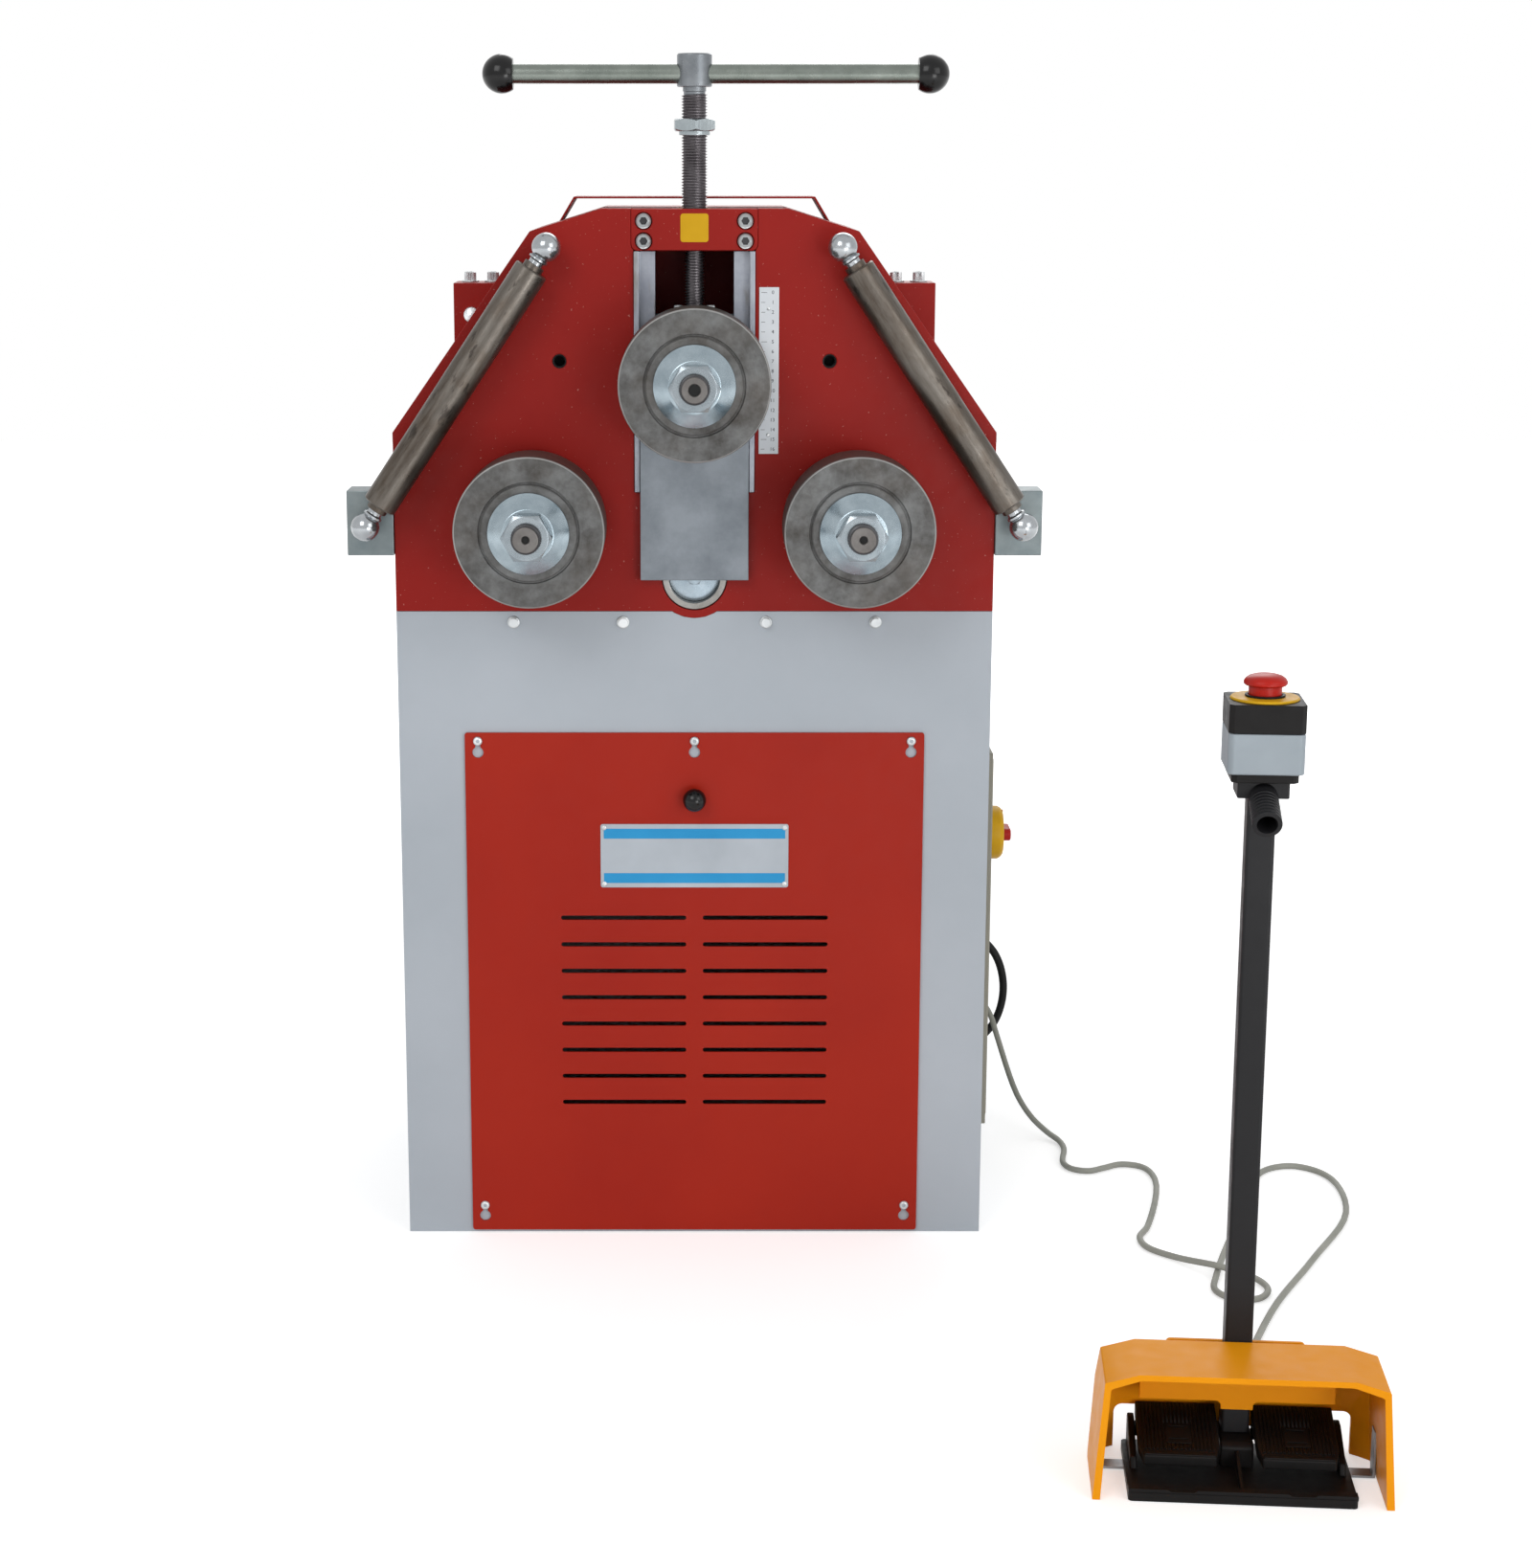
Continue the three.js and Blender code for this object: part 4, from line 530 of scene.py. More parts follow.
def add_stage():
    """A pale floor and sky that are seen brighter than they light the machine."""
    floor_half = 9
    pick_nothing()
    bpy.ops.mesh.primitive_plane_add(size=2 * floor_half, location=(0, 0, -0.0005))
    floor = bpy.context.active_object
    floor.name = "studio_floor"
    material = bpy.data.materials.new("studio_floor")
    material.use_nodes = True
    tree = material.node_tree
    shader = tree.nodes["Principled BSDF"]
    shader.inputs["Base Color"].default_value = (0.8, 0.8, 0.8, 1)
    shader.inputs["Roughness"].default_value = 0.9
    shader.inputs["Emission Color"].default_value = (1, 1, 1, 1)
    place_on_floor = tree.nodes.new("ShaderNodeTexCoord").outputs["Object"]
    distance = tree.nodes.new("ShaderNodeVectorMath")
    distance.operation = "LENGTH"
    tree.links.new(place_on_floor, distance.inputs[0])
    far = tree.nodes.new("ShaderNodeMapRange")
    for socket, value in (("From Min", 1.1), ("From Max", 3.2), ("To Min", 0.5), ("To Max", 1.0)):
        far.inputs[socket].default_value = value
    tree.links.new(distance.outputs["Value"], far.inputs["Value"])
    glow = tree.nodes.new("ShaderNodeMath")
    glow.operation = "MULTIPLY"
    tree.links.new(far.outputs[0], glow.inputs[1])
    tree.links.new(seen_ray(tree), glow.inputs[0])
    tree.links.new(glow.outputs[0], shader.inputs["Emission Strength"])
    floor.data.materials.append(material)

    world = bpy.data.worlds.new("studio")
    world.use_nodes = True
    tree = world.node_tree
    sky = tree.nodes["Background"]
    sky.inputs["Color"].default_value = (1, 1, 1, 1)
    strength = tree.nodes.new("ShaderNodeMapRange")
    strength.inputs["To Min"].default_value = 0.5
    strength.inputs["To Max"].default_value = 1.0
    tree.links.new(seen_ray(tree), strength.inputs["Value"])
    tree.links.new(strength.outputs[0], sky.inputs["Strength"])
    bpy.context.scene.world = world
    bpy.context.scene.view_settings.view_transform = "Standard"


def add_lamp(name, at, target, size, power):
    data = bpy.data.lights.new(name, "AREA")
    data.shape = "SQUARE"
    data.size = size
    data.energy = power
    lamp = bpy.data.objects.new(name, data)
    lamp.location = at
    lamp.rotation_euler = (Vector(target) - Vector(at)).to_track_quat("-Z", "Y").to_euler()
    bpy.context.collection.objects.link(lamp)


add_camera()
add_stage()
add_lamp("key_lamp", (-1.9, -3.6, 3.4), (0, 0, 0.7), 2.2, 53)
add_lamp("low_lamp", (1.5, -3.2, 0.3), (0.1, -0.25, 0.1), 1.2, 26)
add_lamp("fill_lamp", (2.6, -3.0, 2.2), (0, 0, 0.6), 2.0, 26)
add_lamp("back_lamp", (0.6, 3.2, 3.0), (0, 0, 0.8), 2.4, 40)


# Control cable, on the same route as the model's

CABLE_RADIUS = 0.0035
CABLE_ROUTE = [
    (0.3423, 0.175, 0.14), (0.351, 0.175, 0.1396), (0.362, 0.173, 0.135), (0.37, 0.167, 0.123),
    (0.376, 0.155, 0.104), (0.397, 0.104, 0.043), (0.413, 0.079, 0.021), (0.43, 0.06, 0.0085),
    (0.442, 0.04, 0.0044), (0.445, 0.014, 0.0038), (0.438, -0.038, 0.0035), (0.446, -0.058, 0.0035),
    (0.464, -0.065, 0.0035), (0.483, -0.055, 0.0035), (0.506, -0.042, 0.0035), (0.529, -0.051, 0.0035),
    (0.538, -0.094, 0.0035), (0.506, -0.244, 0.0035), (0.492, -0.278, 0.0035), (0.496, -0.308, 0.0037),
    (0.522, -0.338, 0.0042), (0.562, -0.381, 0.0108), (0.582, -0.389, 0.007), (0.6, -0.405, 0.0042),
    (0.604, -0.43, 0.0038), (0.59, -0.452, 0.0036), (0.564, -0.452, 0.0035), (0.549, -0.43, 0.0035),
    (0.557, -0.388, 0.0035), (0.62, -0.198, 0.0035), (0.66, -0.08, 0.0035), (0.682, -0.055, 0.0035),
    (0.707, -0.048, 0.0035), (0.73, -0.062, 0.0035), (0.745, -0.096, 0.0035), (0.737, -0.202, 0.0035),
    (0.668, -0.346, 0.0035), (0.596, -0.488, 0.0038), (0.514, -0.72, 0.0042), (0.5057, -0.8059, 0.01),
]


def smooth_route(points, parts):
    """Points along the centripetal curve through the given ones, so many to each stretch."""
    points = [Vector(point) for point in points]
    points = [2 * points[0] - points[1], *points, 2 * points[-1] - points[-2]]
    route = []
    for before, start, end, after in zip(points, points[1:], points[2:], points[3:]):
        gaps = [(b - a).length ** 0.5 for a, b in ((before, start), (start, end), (end, after))]
        pace = (end - start) / gaps[1]
        leave = (start - before) / gaps[0] - (end - before) / (gaps[0] + gaps[1]) + pace
        reach = pace - (after - start) / (gaps[1] + gaps[2]) + (after - end) / gaps[2]
        leave *= gaps[1]
        reach *= gaps[1]
        for part in range(parts):
            t = part / parts
            route.append(start * (2 * t ** 3 - 3 * t ** 2 + 1) + leave * (t ** 3 - 2 * t ** 2 + t)
                         + end * (3 * t ** 2 - 2 * t ** 3) + reach * (t ** 3 - t ** 2))
    return [*route, points[-2]]


def tube(name, route, radius):
    """A round cable along a route."""
    data = bpy.data.curves.new(name, "CURVE")
    data.dimensions = "3D"
    data.bevel_depth = radius
    data.bevel_resolution = 6
    data.use_fill_caps = True
    spline = data.splines.new("POLY")
    spline.points.add(len(route) - 1)
    for point, spot in zip(spline.points, route):
        point.co = (*spot, 1)
        point.radius = 1
    cable = bpy.data.objects.new(name, data)
    bpy.context.collection.objects.link(cable)
    return cable


def make_cable():
    route = smooth_route(CABLE_ROUTE, 6)
    cable = tube("control_lead", route, CABLE_RADIUS)
    settle(cable, "machine", grey_cable, "grey_cable", "control_cable")


make_cable()


def fasten(name, piece, places, body="machine"):
    """Zinc-plated copies of a screw or rivet."""
    return settle(repeat(name, piece, places), body, fastener, "zinc")


def socket_floors(name, socket, depth, places):
    """Dark plates on the floors of the hexagonal sockets of screws that stand on these places and face
    forward: painted shade in each socket.
    """
    floor = plate("socket_floor", hexagon(socket - 0.0001), depth, depth + 0.0002, "Z", edge=0)
    floors = repeat(name, place(floor, turn=FORWARD), places)
    return settle(floors, "machine", dark_fastener, "dark_steel")


# Cabinet: painted sheets, flange bolts under the top edge


def make_cabinet():
    """Painted sheets with the flange bolts in front and the back sheet's screws."""
    for name in ("left_side", "right_side", "front", "back", "top", "base"):
        dress(f"cabinet_{name}", cabinet_paint)
    flange = [(0, 0), (0.0068, 0), (0.0068, 0.0008), (0.0058, 0.0016), (0, 0.0016)]
    bolt = join("bolt", hex_nut("head", 0.0095, 0.0012, 0.0055), turn("flange", flange, sides=48))
    place(bolt, turn=(math.pi / 2, 0, 0))
    places = [(x, FRONT, 0.6865) for x in (-0.1925, -0.076, 0.076, 0.1925)]
    fasten("cabinet_bolts", bolt, places)
    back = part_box("cabinet_back")[1].y
    head = [(0, 0.0018), (0.003, 0.0016), (0.0042, 0.0008), (0.0045, 0), (0, 0)]
    screw = turn("screw", head, axis="Y", sides=32)
    places = [(x, back, z) for x in (-0.3, 0, 0.3) for z in (0.02, 0.349, 0.678)]
    fasten("back_sheet_screws", screw, places)


# Service panel with its keyholes, ventilation slots, screws, knob and blank nameplate


def make_panel():
    """The panel and what rides on it, and the screws that it hangs on."""
    low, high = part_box("service_panel")
    half = (high.x - low.x) / 2
    front, back = low.y, high.y
    outline = rounded(half, (high.z - low.z) / 2, 0.003, (0, middle("service_panel").z))
    sheet = plate("panel_sheet", outline, front, back, edge=0)
    side = half - 0.014
    top = high.z - 0.009
    bottom = low.z + 0.029
    screws = [(-side, top), (0, top), (side, top), (-side, bottom), (side, bottom)]
    hole_radius = 0.006
    slot_half = 0.0028
    drop = 0.0125
    keyhole = [*arc((0, 0), slot_half, 0, 180, 10), *arc((0, -drop), hole_radius, 118, 422, 28)]
    tool = plate("keyhole", keyhole, front - OVERRUN, back + OVERRUN, edge=0)
    carve(sheet, repeat("keyholes", tool, [(x, 0, z) for x, z in screws]))
    vent_half, vent_x, lowest_vent, vent_pitch, vent_rows = 0.068, 0.077, 0.152, 0.03, 8
    slot = rounded(vent_half, 0.0025, 0.00249, steps=8)
    vent = plate("vent", slot, front - OVERRUN, back + OVERRUN, edge=0)
    rows = [(way * vent_x, 0, lowest_vent + row * vent_pitch)
            for way in (-1, 1) for row in range(vent_rows)]
    carve(sheet, repeat("vents", vent, rows))
    round_edges(sheet, 0.0004)
    settle(sheet, "panel", panel_paint, "red_paint", "service_panel")

    socket, socket_floor = 0.0035, 0.001
    head = [(0, 0), (0.005, 0), (0.0049, 0.0013), (0.0042, 0.0022), (0.003, 0.0027), (0, 0.0028)]
    screw = turn("panel_screw", head, sides=48)
    carve(screw, plate("recess", hexagon(socket), socket_floor, OVERRUN, "Z", edge=0))
    round_edges(screw, 0.0002)
    place(screw, turn=(math.pi / 2, 0, 0))
    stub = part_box("cabinet_front")[0].y + 0.0022
    places = [(x, stub, z) for x, z in screws]
    fasten("panel_screws", screw, places)
    # A dark plate in each screw's socket is painted shade.
    socket_floors("panel_screw_socket_shade", socket, socket_floor, places)

    low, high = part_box("panel_knob")
    at = (0, high.y, middle("panel_knob").z)
    radius = (high.x - low.x) / 2
    reach = high.y - low.y
    bulb = reach - radius
    neck = 0.55 * radius
    profile = [(0, 0), (0.56 * radius, 0), (0.5 * radius, 0.2 * reach), (neck, bulb - neck)]
    profile += [(wide, bulb + up) for wide, up in arc((0, 0), radius, -50, 88, 16)] + [(0, reach)]
    knob = turn("knob_ball", profile, at, (math.pi / 2, 0, 0), edge=0)
    settle(knob, "panel", black_gloss, "black_plastic", "panel_knob")

    sheet_thick = 0.001
    print_thick = 0.00015
    name_z = 0.4315
    half_width = 0.1015
    half_height = 0.0352
    face = front - sheet_thick
    outline = rounded(half_width, half_height, 0.0025, (0, name_z))
    blank = plate("nameplate", outline, face, front, edge=0.0002)
    settle(blank, "panel", plate_metal, "light_plastic")
    outline = rounded(half_width - 0.0035, 0.0055, 0.0004)
    stripe = plate("stripe", outline, face - print_thick, face, edge=0)
    reach = half_height - 0.0105
    stripes = repeat("nameplate_stripes", stripe, [(0, 0, name_z + reach), (0, 0, name_z - reach)])
    settle(stripes, "panel", blue_print, "light_plastic")
    profile = [(0, 0), (0.0028, 0), (0.0026, 0.0006), (0.0017, 0.0011), (0.0009, 0.0011),
               (0.0007, 0.0005), (0, 0.0005)]
    rivet = turn("rivet", profile, axis=FORWARD, sides=32, edge=0)
    inset = 0.004
    places = [(way * (half_width - inset), face, name_z + end * (half_height - inset))
              for way in (-1, 1) for end in (-1, 1)]
    fasten("nameplate_rivets", rivet, places, "panel")


# Bending head: front plate, casing, guard, crossbar, rails and scale


def head_outline():
    """Front plate's outline with its pinion lobe below and the slide's channel from above."""
    half = 0.317
    foot = CABINET_TOP + GAP
    shoulder = CABINET_TOP + 0.42
    lobe_radius = 0.043
    lobe_rise = 0.036
    lobe = (0, CABINET_TOP + lobe_rise)
    swing = math.degrees(math.asin((lobe_rise - GAP) / lobe_radius))
    pocket_half = 0.066
    corner = 0.007
    channel_half = 0.0633
    pocket_floor = CABINET_TOP + 0.3767
    lip = 90 - math.degrees(math.asin((channel_half - pocket_half + corner) / corner))
    right = [(half, foot), (half, CABINET_TOP + 0.1895), (0.1705, CABINET_TOP + 0.397),
             (0.097, shoulder), (pocket_half, shoulder),
             *arc((pocket_half - corner, pocket_floor + corner), corner, 0, -lip, 5),
             (channel_half, CABINET_TOP + 0.127)]
    left = [(-x, z) for x, z in reversed(right)]
    return [*arc(lobe, lobe_radius, swing - 180, -swing, 16), *right, *left]


def make_head():
    """Front plate with its bores and tapped holes, the painted castings and their screws."""
    low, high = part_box("head_front_plate")
    front_plate = plate("head_plate", head_outline(), low.y, high.y, edge=0)
    lower = [middle(f"{side}_roller") for side, way in SIDES]
    bores = [*((0.0303, spot.x, spot.z) for spot in lower), (0.0347, 0, middle("pinion_bearing").z)]
    start, end = low.y - OVERRUN, high.y + OVERRUN
    holes = [rod("hole", radius, start, end, (x, 0, z), "Y") for radius, x, z in bores]
    tap_depth = 0.032
    tap_radius = 0.0073
    mouth = 0.0081
    tap = [(0, tap_depth), (tap_radius, tap_depth), (tap_radius, 0.0008), (mouth, 0), (mouth, -OVERRUN),
           (0, -OVERRUN)]
    tap_places = [(way * 0.141, low.y, CABINET_TOP + 0.2637) for way in (-1, 1)]
    holes += [turn("tap", tap, spot, "Y", 48, 0) for spot in tap_places]
    carve(front_plate, join("holes", *holes))
    round_edges(front_plate, 0.0009, 3)
    settle(front_plate, "machine", red_paint, "red_paint", "head_front_plate")
    # A black threaded sleeve in each tapped hole is painted shade that darkens the hole.
    sleeve = rod("tap_shade_sleeve", tap_radius - 0.0001, 0.0012, tap_depth, axis="Y")
    carve(sleeve, thread("tap", tap_radius - 0.0005, 0.0015, 17, (0, -0.001, 0), "Y"))
    settle(repeat("tap_hole_shade", sleeve, tap_places), "machine", rubber, "dark_steel")

    for node in ("head_rear_plate", "head_casing", "top_guard", "drive_cover"):
        dress(node, red_paint)
    lug_top = CABINET_TOP + 0.339
    washer_thick = 0.0018
    head = place(cap_screw(0.0065, 0.0095, 0.006), (0, 0, washer_thick))
    screw = join("lug_screw", head, rod("washer", 0.0095, 0, washer_thick, sides=48, edge=0.0004))
    places = [(way * x, -0.09, lug_top) for way in (-1, 1) for x in (0.2198, 0.2448)]
    fasten("lug_screws", screw, places)
    dome_radius = 0.009
    squash = 0.62
    dome = [(0, 0), (dome_radius, 0), *arc((0, 0), dome_radius, 12, 84, 10), (0, dome_radius)]
    dome = [(wide, squash * up) for wide, up in dome]
    cap = turn("lug_dome", dome, (-0.242, FRONT + 0.13, 1.003), FORWARD, 48, 0)
    chrome = turned_steel("chrome_dome", (0, 0, 0), "Y", (206, 210, 214), (224, 228, 230), 0.12)
    settle(cap, "machine", chrome, "chrome")
    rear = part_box("head_rear_plate")[1].y
    bolt = place(cap_screw(0.008, 0.008, 0.008), turn=AXIS_TURNS["Y"])
    places = [(way * x, rear, z) for way in (-1, 1)
              for x, z in ((0.296, 0.72), (0.296, 0.872), (0.19, 1.055), (0.07, 1.098), (0.2, 0.9))]
    settle(repeat("rear_plate_screws", bolt, places), "machine", dark_fastener, "dark_steel")


def crossbar_outline(half, bottom, top):
    """Outline of the crossbar, with its lower corners round."""
    corner = 0.007
    left, right = corner - half, half - corner
    return [*arc((left, bottom + corner), corner, 180, 270, 8),
            *arc((right, bottom + corner), corner, 270, 360, 8), (half, top), (-half, top)]


def make_crossbar():
    """Crossbar with its sunk screws, the screw's bush and a blank sticker."""
    low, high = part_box("crossbar")
    bar = plate("crossbar_block", crossbar_outline(high.x, low.z, high.z), low.y, high.y, edge=0)
    axis = middle("spindle")
    bush_radius = 0.018
    drill(bar, bush_radius + GAP, low.z, high.z, (0, axis.y, 0))
    pit_depth = 0.0045
    screws = [(way * 0.0527, low.y + pit_depth, z) for way in (-1, 1) for z in (1.085, 1.1055)]
    pits = [rod("pit", 0.0088, y - pit_depth - OVERRUN, y, (x, 0, z), "Y") for x, y, z in screws]
    carve(bar, join("pits", *pits))
    round_edges(bar, 0.0008, 3)
    settle(bar, "machine", red_paint, "red_paint", "crossbar")
    socket = 0.0075
    fasten("crossbar_screws", cap_screw(0.008, 0.008, socket, FORWARD), screws)
    # A dark plate in each screw's socket is painted shade.
    socket_floors("crossbar_screw_socket_shade", socket, 0.0029, screws)
    low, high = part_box("screw_nut")
    nut = ring("screw_bush", 0.014, bush_radius, low.z, high.z, (0, axis.y, 0))
    settle(nut, "machine", bronze, "bronze", "screw_nut")
    half = 0.0145
    outline = rounded(half, half, 0.003, (0, 1.0985))
    sticker = plate("blank_sticker", outline, FRONT - 0.0003, FRONT, edge=0.0001)
    settle(sticker, "machine", yellow_plastic, "yellow_plastic")


def make_scale():
    """Scale strip with a number and a tick for each centimetre, and its two rivets."""
    low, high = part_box("scale_strip")
    centre = middle("scale_strip")
    outline = rounded((high.x - low.x) / 2, (high.z - low.z) / 2, 0.0006, (centre.x, centre.z))
    strip = plate("scale_plate", outline, low.y, high.y, edge=0.0002)
    settle(strip, "machine", strip_print, "scale_print", "scale_strip")
    first = high.z - 0.0054
    spacing = 0.01014
    ink_thick = 0.0001
    tick_start = low.x + 0.0022
    tick_half = 0.0002
    marks = []
    for number in range(17):
        z = first - number * spacing
        pick_nothing()
        bpy.ops.object.text_add(location=(low.x + 0.0142, low.y, z), rotation=FORWARD)
        text = bpy.context.active_object
        text.data.body = str(number)
        text.data.size = 0.0052
        text.data.align_x = text.data.align_y = "CENTER"
        text.data.extrude = ink_thick
        text.data.resolution_u = 3
        pick(text)
        bpy.ops.object.convert(target="MESH")
        marks.append(place(bpy.context.active_object, turn=(math.pi / 2, 0, 0)))
        tick_length = 0.006 if number % 5 == 0 else 0.004
        marks.append(block("tick", (tick_start, low.y - ink_thick, z - tick_half),
                           (tick_start + tick_length, low.y, z + tick_half)))
    settle(join("scale_marks", *marks), "machine", ink, "scale_print")
    profile = [(0, 0), (0.0021, 0), (0.0018, 0.0006), (0.0008, 0.0009), (0, 0.0009)]
    rivet = turn("rivet", profile, axis=FORWARD, sides=32, edge=0)
    places = [(low.x + 0.0098, low.y, z) for z in (high.z - 0.0218, low.z + 0.0198)]
    fasten("scale_rivets", rivet, places)


# Slide and rails, adjusting screw, lock nut and tommy bar


def make_slide():
    """Slide, keeper and rails as they are, with screws in the retainer."""
    dress("slide_block", apron_steel)
    dress("slide_keeper", cast_iron)
    dress("rail_left", rail_steel)
    dress("rail_right", rail_steel)
    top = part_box("slide_block")[1].z
    places = [(way * 0.017, middle("spindle").y, top) for way in (-1, 1)]
    fasten("retainer_screws", cap_screw(0.0045, 0.0045, 0.0045), places, "slide")


def make_screw():
    """The adjusting screw, measured upwards from the upper roller's axis, and its lock nut."""
    foot = (0, middle("spindle").y, 0)
    level = middle("upper_roller").z
    at = (0, foot[1], level)
    pitch = 0.003
    neck_radius, neck_start, neck_turns = 0.0102, 0.073, 19
    screw_radius, screw_start, screw_turns = 0.0135, 0.132, 52
    core, core_end = 0.0082, screw_start + pitch
    profile = [(0, 0.055), (0.015, 0.055), (0.015, 0.061), (neck_radius, 0.061), (neck_radius, 0.072),
               (core, neck_start), (core, core_end), (0, core_end)]
    collar = turn("collar", profile, at)
    neck_place = (0, foot[1], level + neck_start + 0.001)
    neck = thread("neck_thread", neck_radius, pitch, neck_turns, neck_place)
    screw_place = (0, foot[1], level + screw_start)
    screw = thread("screw_thread", screw_radius, pitch, screw_turns, screw_place)
    profile = [(0, 0.286), (0.0112, 0.286), (0.0112, 0.2925), (0.012, 0.293), (0.012, 0.2975),
               (0.0172, 0.2975), (0.018, 0.2985), (0.018, 0.3295), (0.0168, 0.331), (0.0065, 0.331),
               (0.004, 0.3285), (0, 0.3285)]
    hub = turn("hub", profile, at, edge=0.0002)
    hole_radius, hole_half = 0.01045, 0.03
    hole_place = (0, foot[1], middle("tommy_bar").z)
    carve(hub, rod("bar_hole", hole_radius, -hole_half, hole_half, hole_place, "X"))
    round_edges(hub, 0.0004)
    steel = turned_steel("screw_steel", foot, "Z", (92, 87, 90), (120, 116, 119), 0.3, mark=0.1)
    settle(join("adjusting_screw", screw, neck, collar), "screw", steel, "ground_steel", "spindle")
    bright = turned_steel("hub_steel", foot, "Z", (108, 113, 118), (134, 138, 142), 0.28, brushed=0.5)
    settle(hub, "screw", bright, "ground_steel", "spindle")

    low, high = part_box("lock_nut")
    across_flats, bore, boss_radius, boss = 0.041, 0.0128, 0.016, 0.004
    corner_forward = (0, 0, math.radians(34))
    body = hex_nut("lock_nut_hex", across_flats, low.z + boss, high.z, bore, foot, corner_forward)
    collar = ring("lock_nut_boss", bore, boss_radius, low.z, low.z + boss + 0.0005, foot)
    zinc = turned_steel("lock_nut_zinc", foot, "Z", (146, 155, 159), (172, 180, 183), 0.22)
    settle(join("lock_nut_hex", body, collar), "lock_nut_body", zinc, "zinc", "lock_nut")


def make_bar():
    """The tommy bar with a ball pressed on either end."""
    low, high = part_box("tommy_bar")
    centre = (low + high) / 2
    at = (0, centre.y, centre.z)
    bite = 0.0015
    radius = (high.z - low.z) / 2
    profile = [(0, low.x), (radius - bite, low.x), (radius, low.x + bite), (radius, high.x - bite),
               (radius - bite, high.x), (0, high.x)]
    bar = turn("handle_bar", profile, at, "X")
    steel = turned_steel("bar_steel", at, "X", (110, 117, 111), (133, 139, 133), 0.26, mark=0.12)
    settle(bar, "bar", steel, "ground_steel", "tommy_bar")
    ball_radius = 0.02
    socket = 0.0103
    flat = 0.0118
    swing = math.degrees(math.acos(flat / ball_radius))
    mouth = -ball_radius * math.sin(math.radians(90 - swing))
    for side, way in SIDES:
        centre = middle(f"ball_{side}")
        depth = (centre - middle("tommy_bar")).length - (high.x - low.x) / 2 - GAP
        profile = [(0, -depth), (socket, -depth), (socket, mouth)]
        profile += arc((0, 0), ball_radius, swing - 90, 88, 28) + [(0, ball_radius)]
        ball = turn(f"bar_ball_{side}", profile, centre, (0, way * math.pi / 2, 0), edge=0.0003)
        settle(ball, "bar", black_gloss, "black_ball", f"ball_{side}")


# Rollers, washers, nuts, shafts, bushes and gears


GEAR_TEETH, PINION_TEETH = 40, 20
NOSE = 0.054
END_DEPTH = 0.0012


def gear_run():
    """From the pinion's axis to the right roller's, across and up."""
    lower = middle("right_roller")
    pinion = middle("pinion_bearing")
    return lower.x - pinion.x, lower.z - pinion.z


def gear(name, teeth, at, start_angle, front, back):
    """A spur gear with involute flanks between its root and tip circles."""
    pressure = math.radians(20)
    backlash = 0.0006
    module = 2 * math.hypot(*gear_run()) / (GEAR_TEETH + PINION_TEETH)
    pitch_radius = module * teeth / 2
    base = pitch_radius * math.cos(pressure)
    involute = lambda angle: math.tan(angle) - angle
    half_tooth = math.pi / (2 * teeth) - backlash / (4 * pitch_radius)
    radii = [pitch_radius - 1.25 * module, pitch_radius, pitch_radius + module]
    outline = []
    for tooth in range(teeth):
        centre = start_angle + tooth * ROUND / teeth
        flank = [(radius, half_tooth + involute(pressure) - involute(math.acos(min(1, base / radius))))
                 for radius in radii]
        outline += [(r * math.cos(centre - a), r * math.sin(centre - a)) for r, a in flank]
        outline += [(r * math.cos(centre + a), r * math.sin(centre + a)) for r, a in reversed(flank)]
    return place(plate(name, outline, front, back, edge=0.0003), at)


def gear_turns():
    """Turns of the pinion and of the gear on either side, so that their teeth mesh."""
    across, up = gear_run()
    pinion_turn = math.atan2(up, across)
    pitch = ROUND / PINION_TEETH
    turns = {}
    for side, way in SIDES:
        angle = math.atan2(up, way * across)
        ahead = pinion_turn - angle
        ahead -= round(ahead / pitch) * pitch
        turns[side] = angle + math.pi - ahead / 2 + math.pi / GEAR_TEETH
    return pinion_turn, turns


def shaft_nose(hub_face, flange_back, socket_radius):
    """Profile of a roller shaft's front: centre hole, end, roller seat and flange."""
    end = hub_face - NOSE
    flange_face = FRONT - 0.0197
    return [(0, end + 0.036), (socket_radius, end + 0.034), (socket_radius, end + 0.001),
            (socket_radius + 0.001, end), (0.0125, end), (0.0131, end + 0.0006),
            (0.0131, hub_face - 0.001), (0.0148, hub_face), (0.02, hub_face), (0.02, flange_face),
            (0.0288, flange_face), (0.03, FRONT - 0.0185), (0.03, flange_back), (0.02, flange_back)]


def roller_steel(side, at, radius):
    """Worn roller steel with a painted highlight, a bright line on the rim's chamfer, and a dark running
    face.
    """
    finish = Finish(f"{side}_roller_steel", 0.46, 0.75)
    tone = finish.colour(finish.noise(26, 7, rough=0.7), (0.34, (64, 62, 60)), (0.62, (106, 107, 107)))
    tone = finish.over(tone, finish.level(finish.noise(9, 5), 0.48, 0.72, 0, 0.55), (74, 64, 54))
    reach = finish.reach(at, "Y")
    # Bright ring over the rim's chamfer: a painted highlight.
    rim = finish.level(reach, radius - 0.0017, radius - 0.0014, 0, 0.6)
    tone = finish.over(tone, rim, (176, 176, 174))
    finish.over(tone, finish.level(reach, radius - 0.0002, radius - 0.0001, 0, 0.8), (70, 61, 54))
    finish.gloss(finish.noise(60, 5), 0.4, 0.56)
    finish.relief(finish.rings(at, "Y", 120, 1), 0.0003, 0.1)
    finish.relief(finish.noise(500, 4), 0.0002, 0.14)
    return finish.material


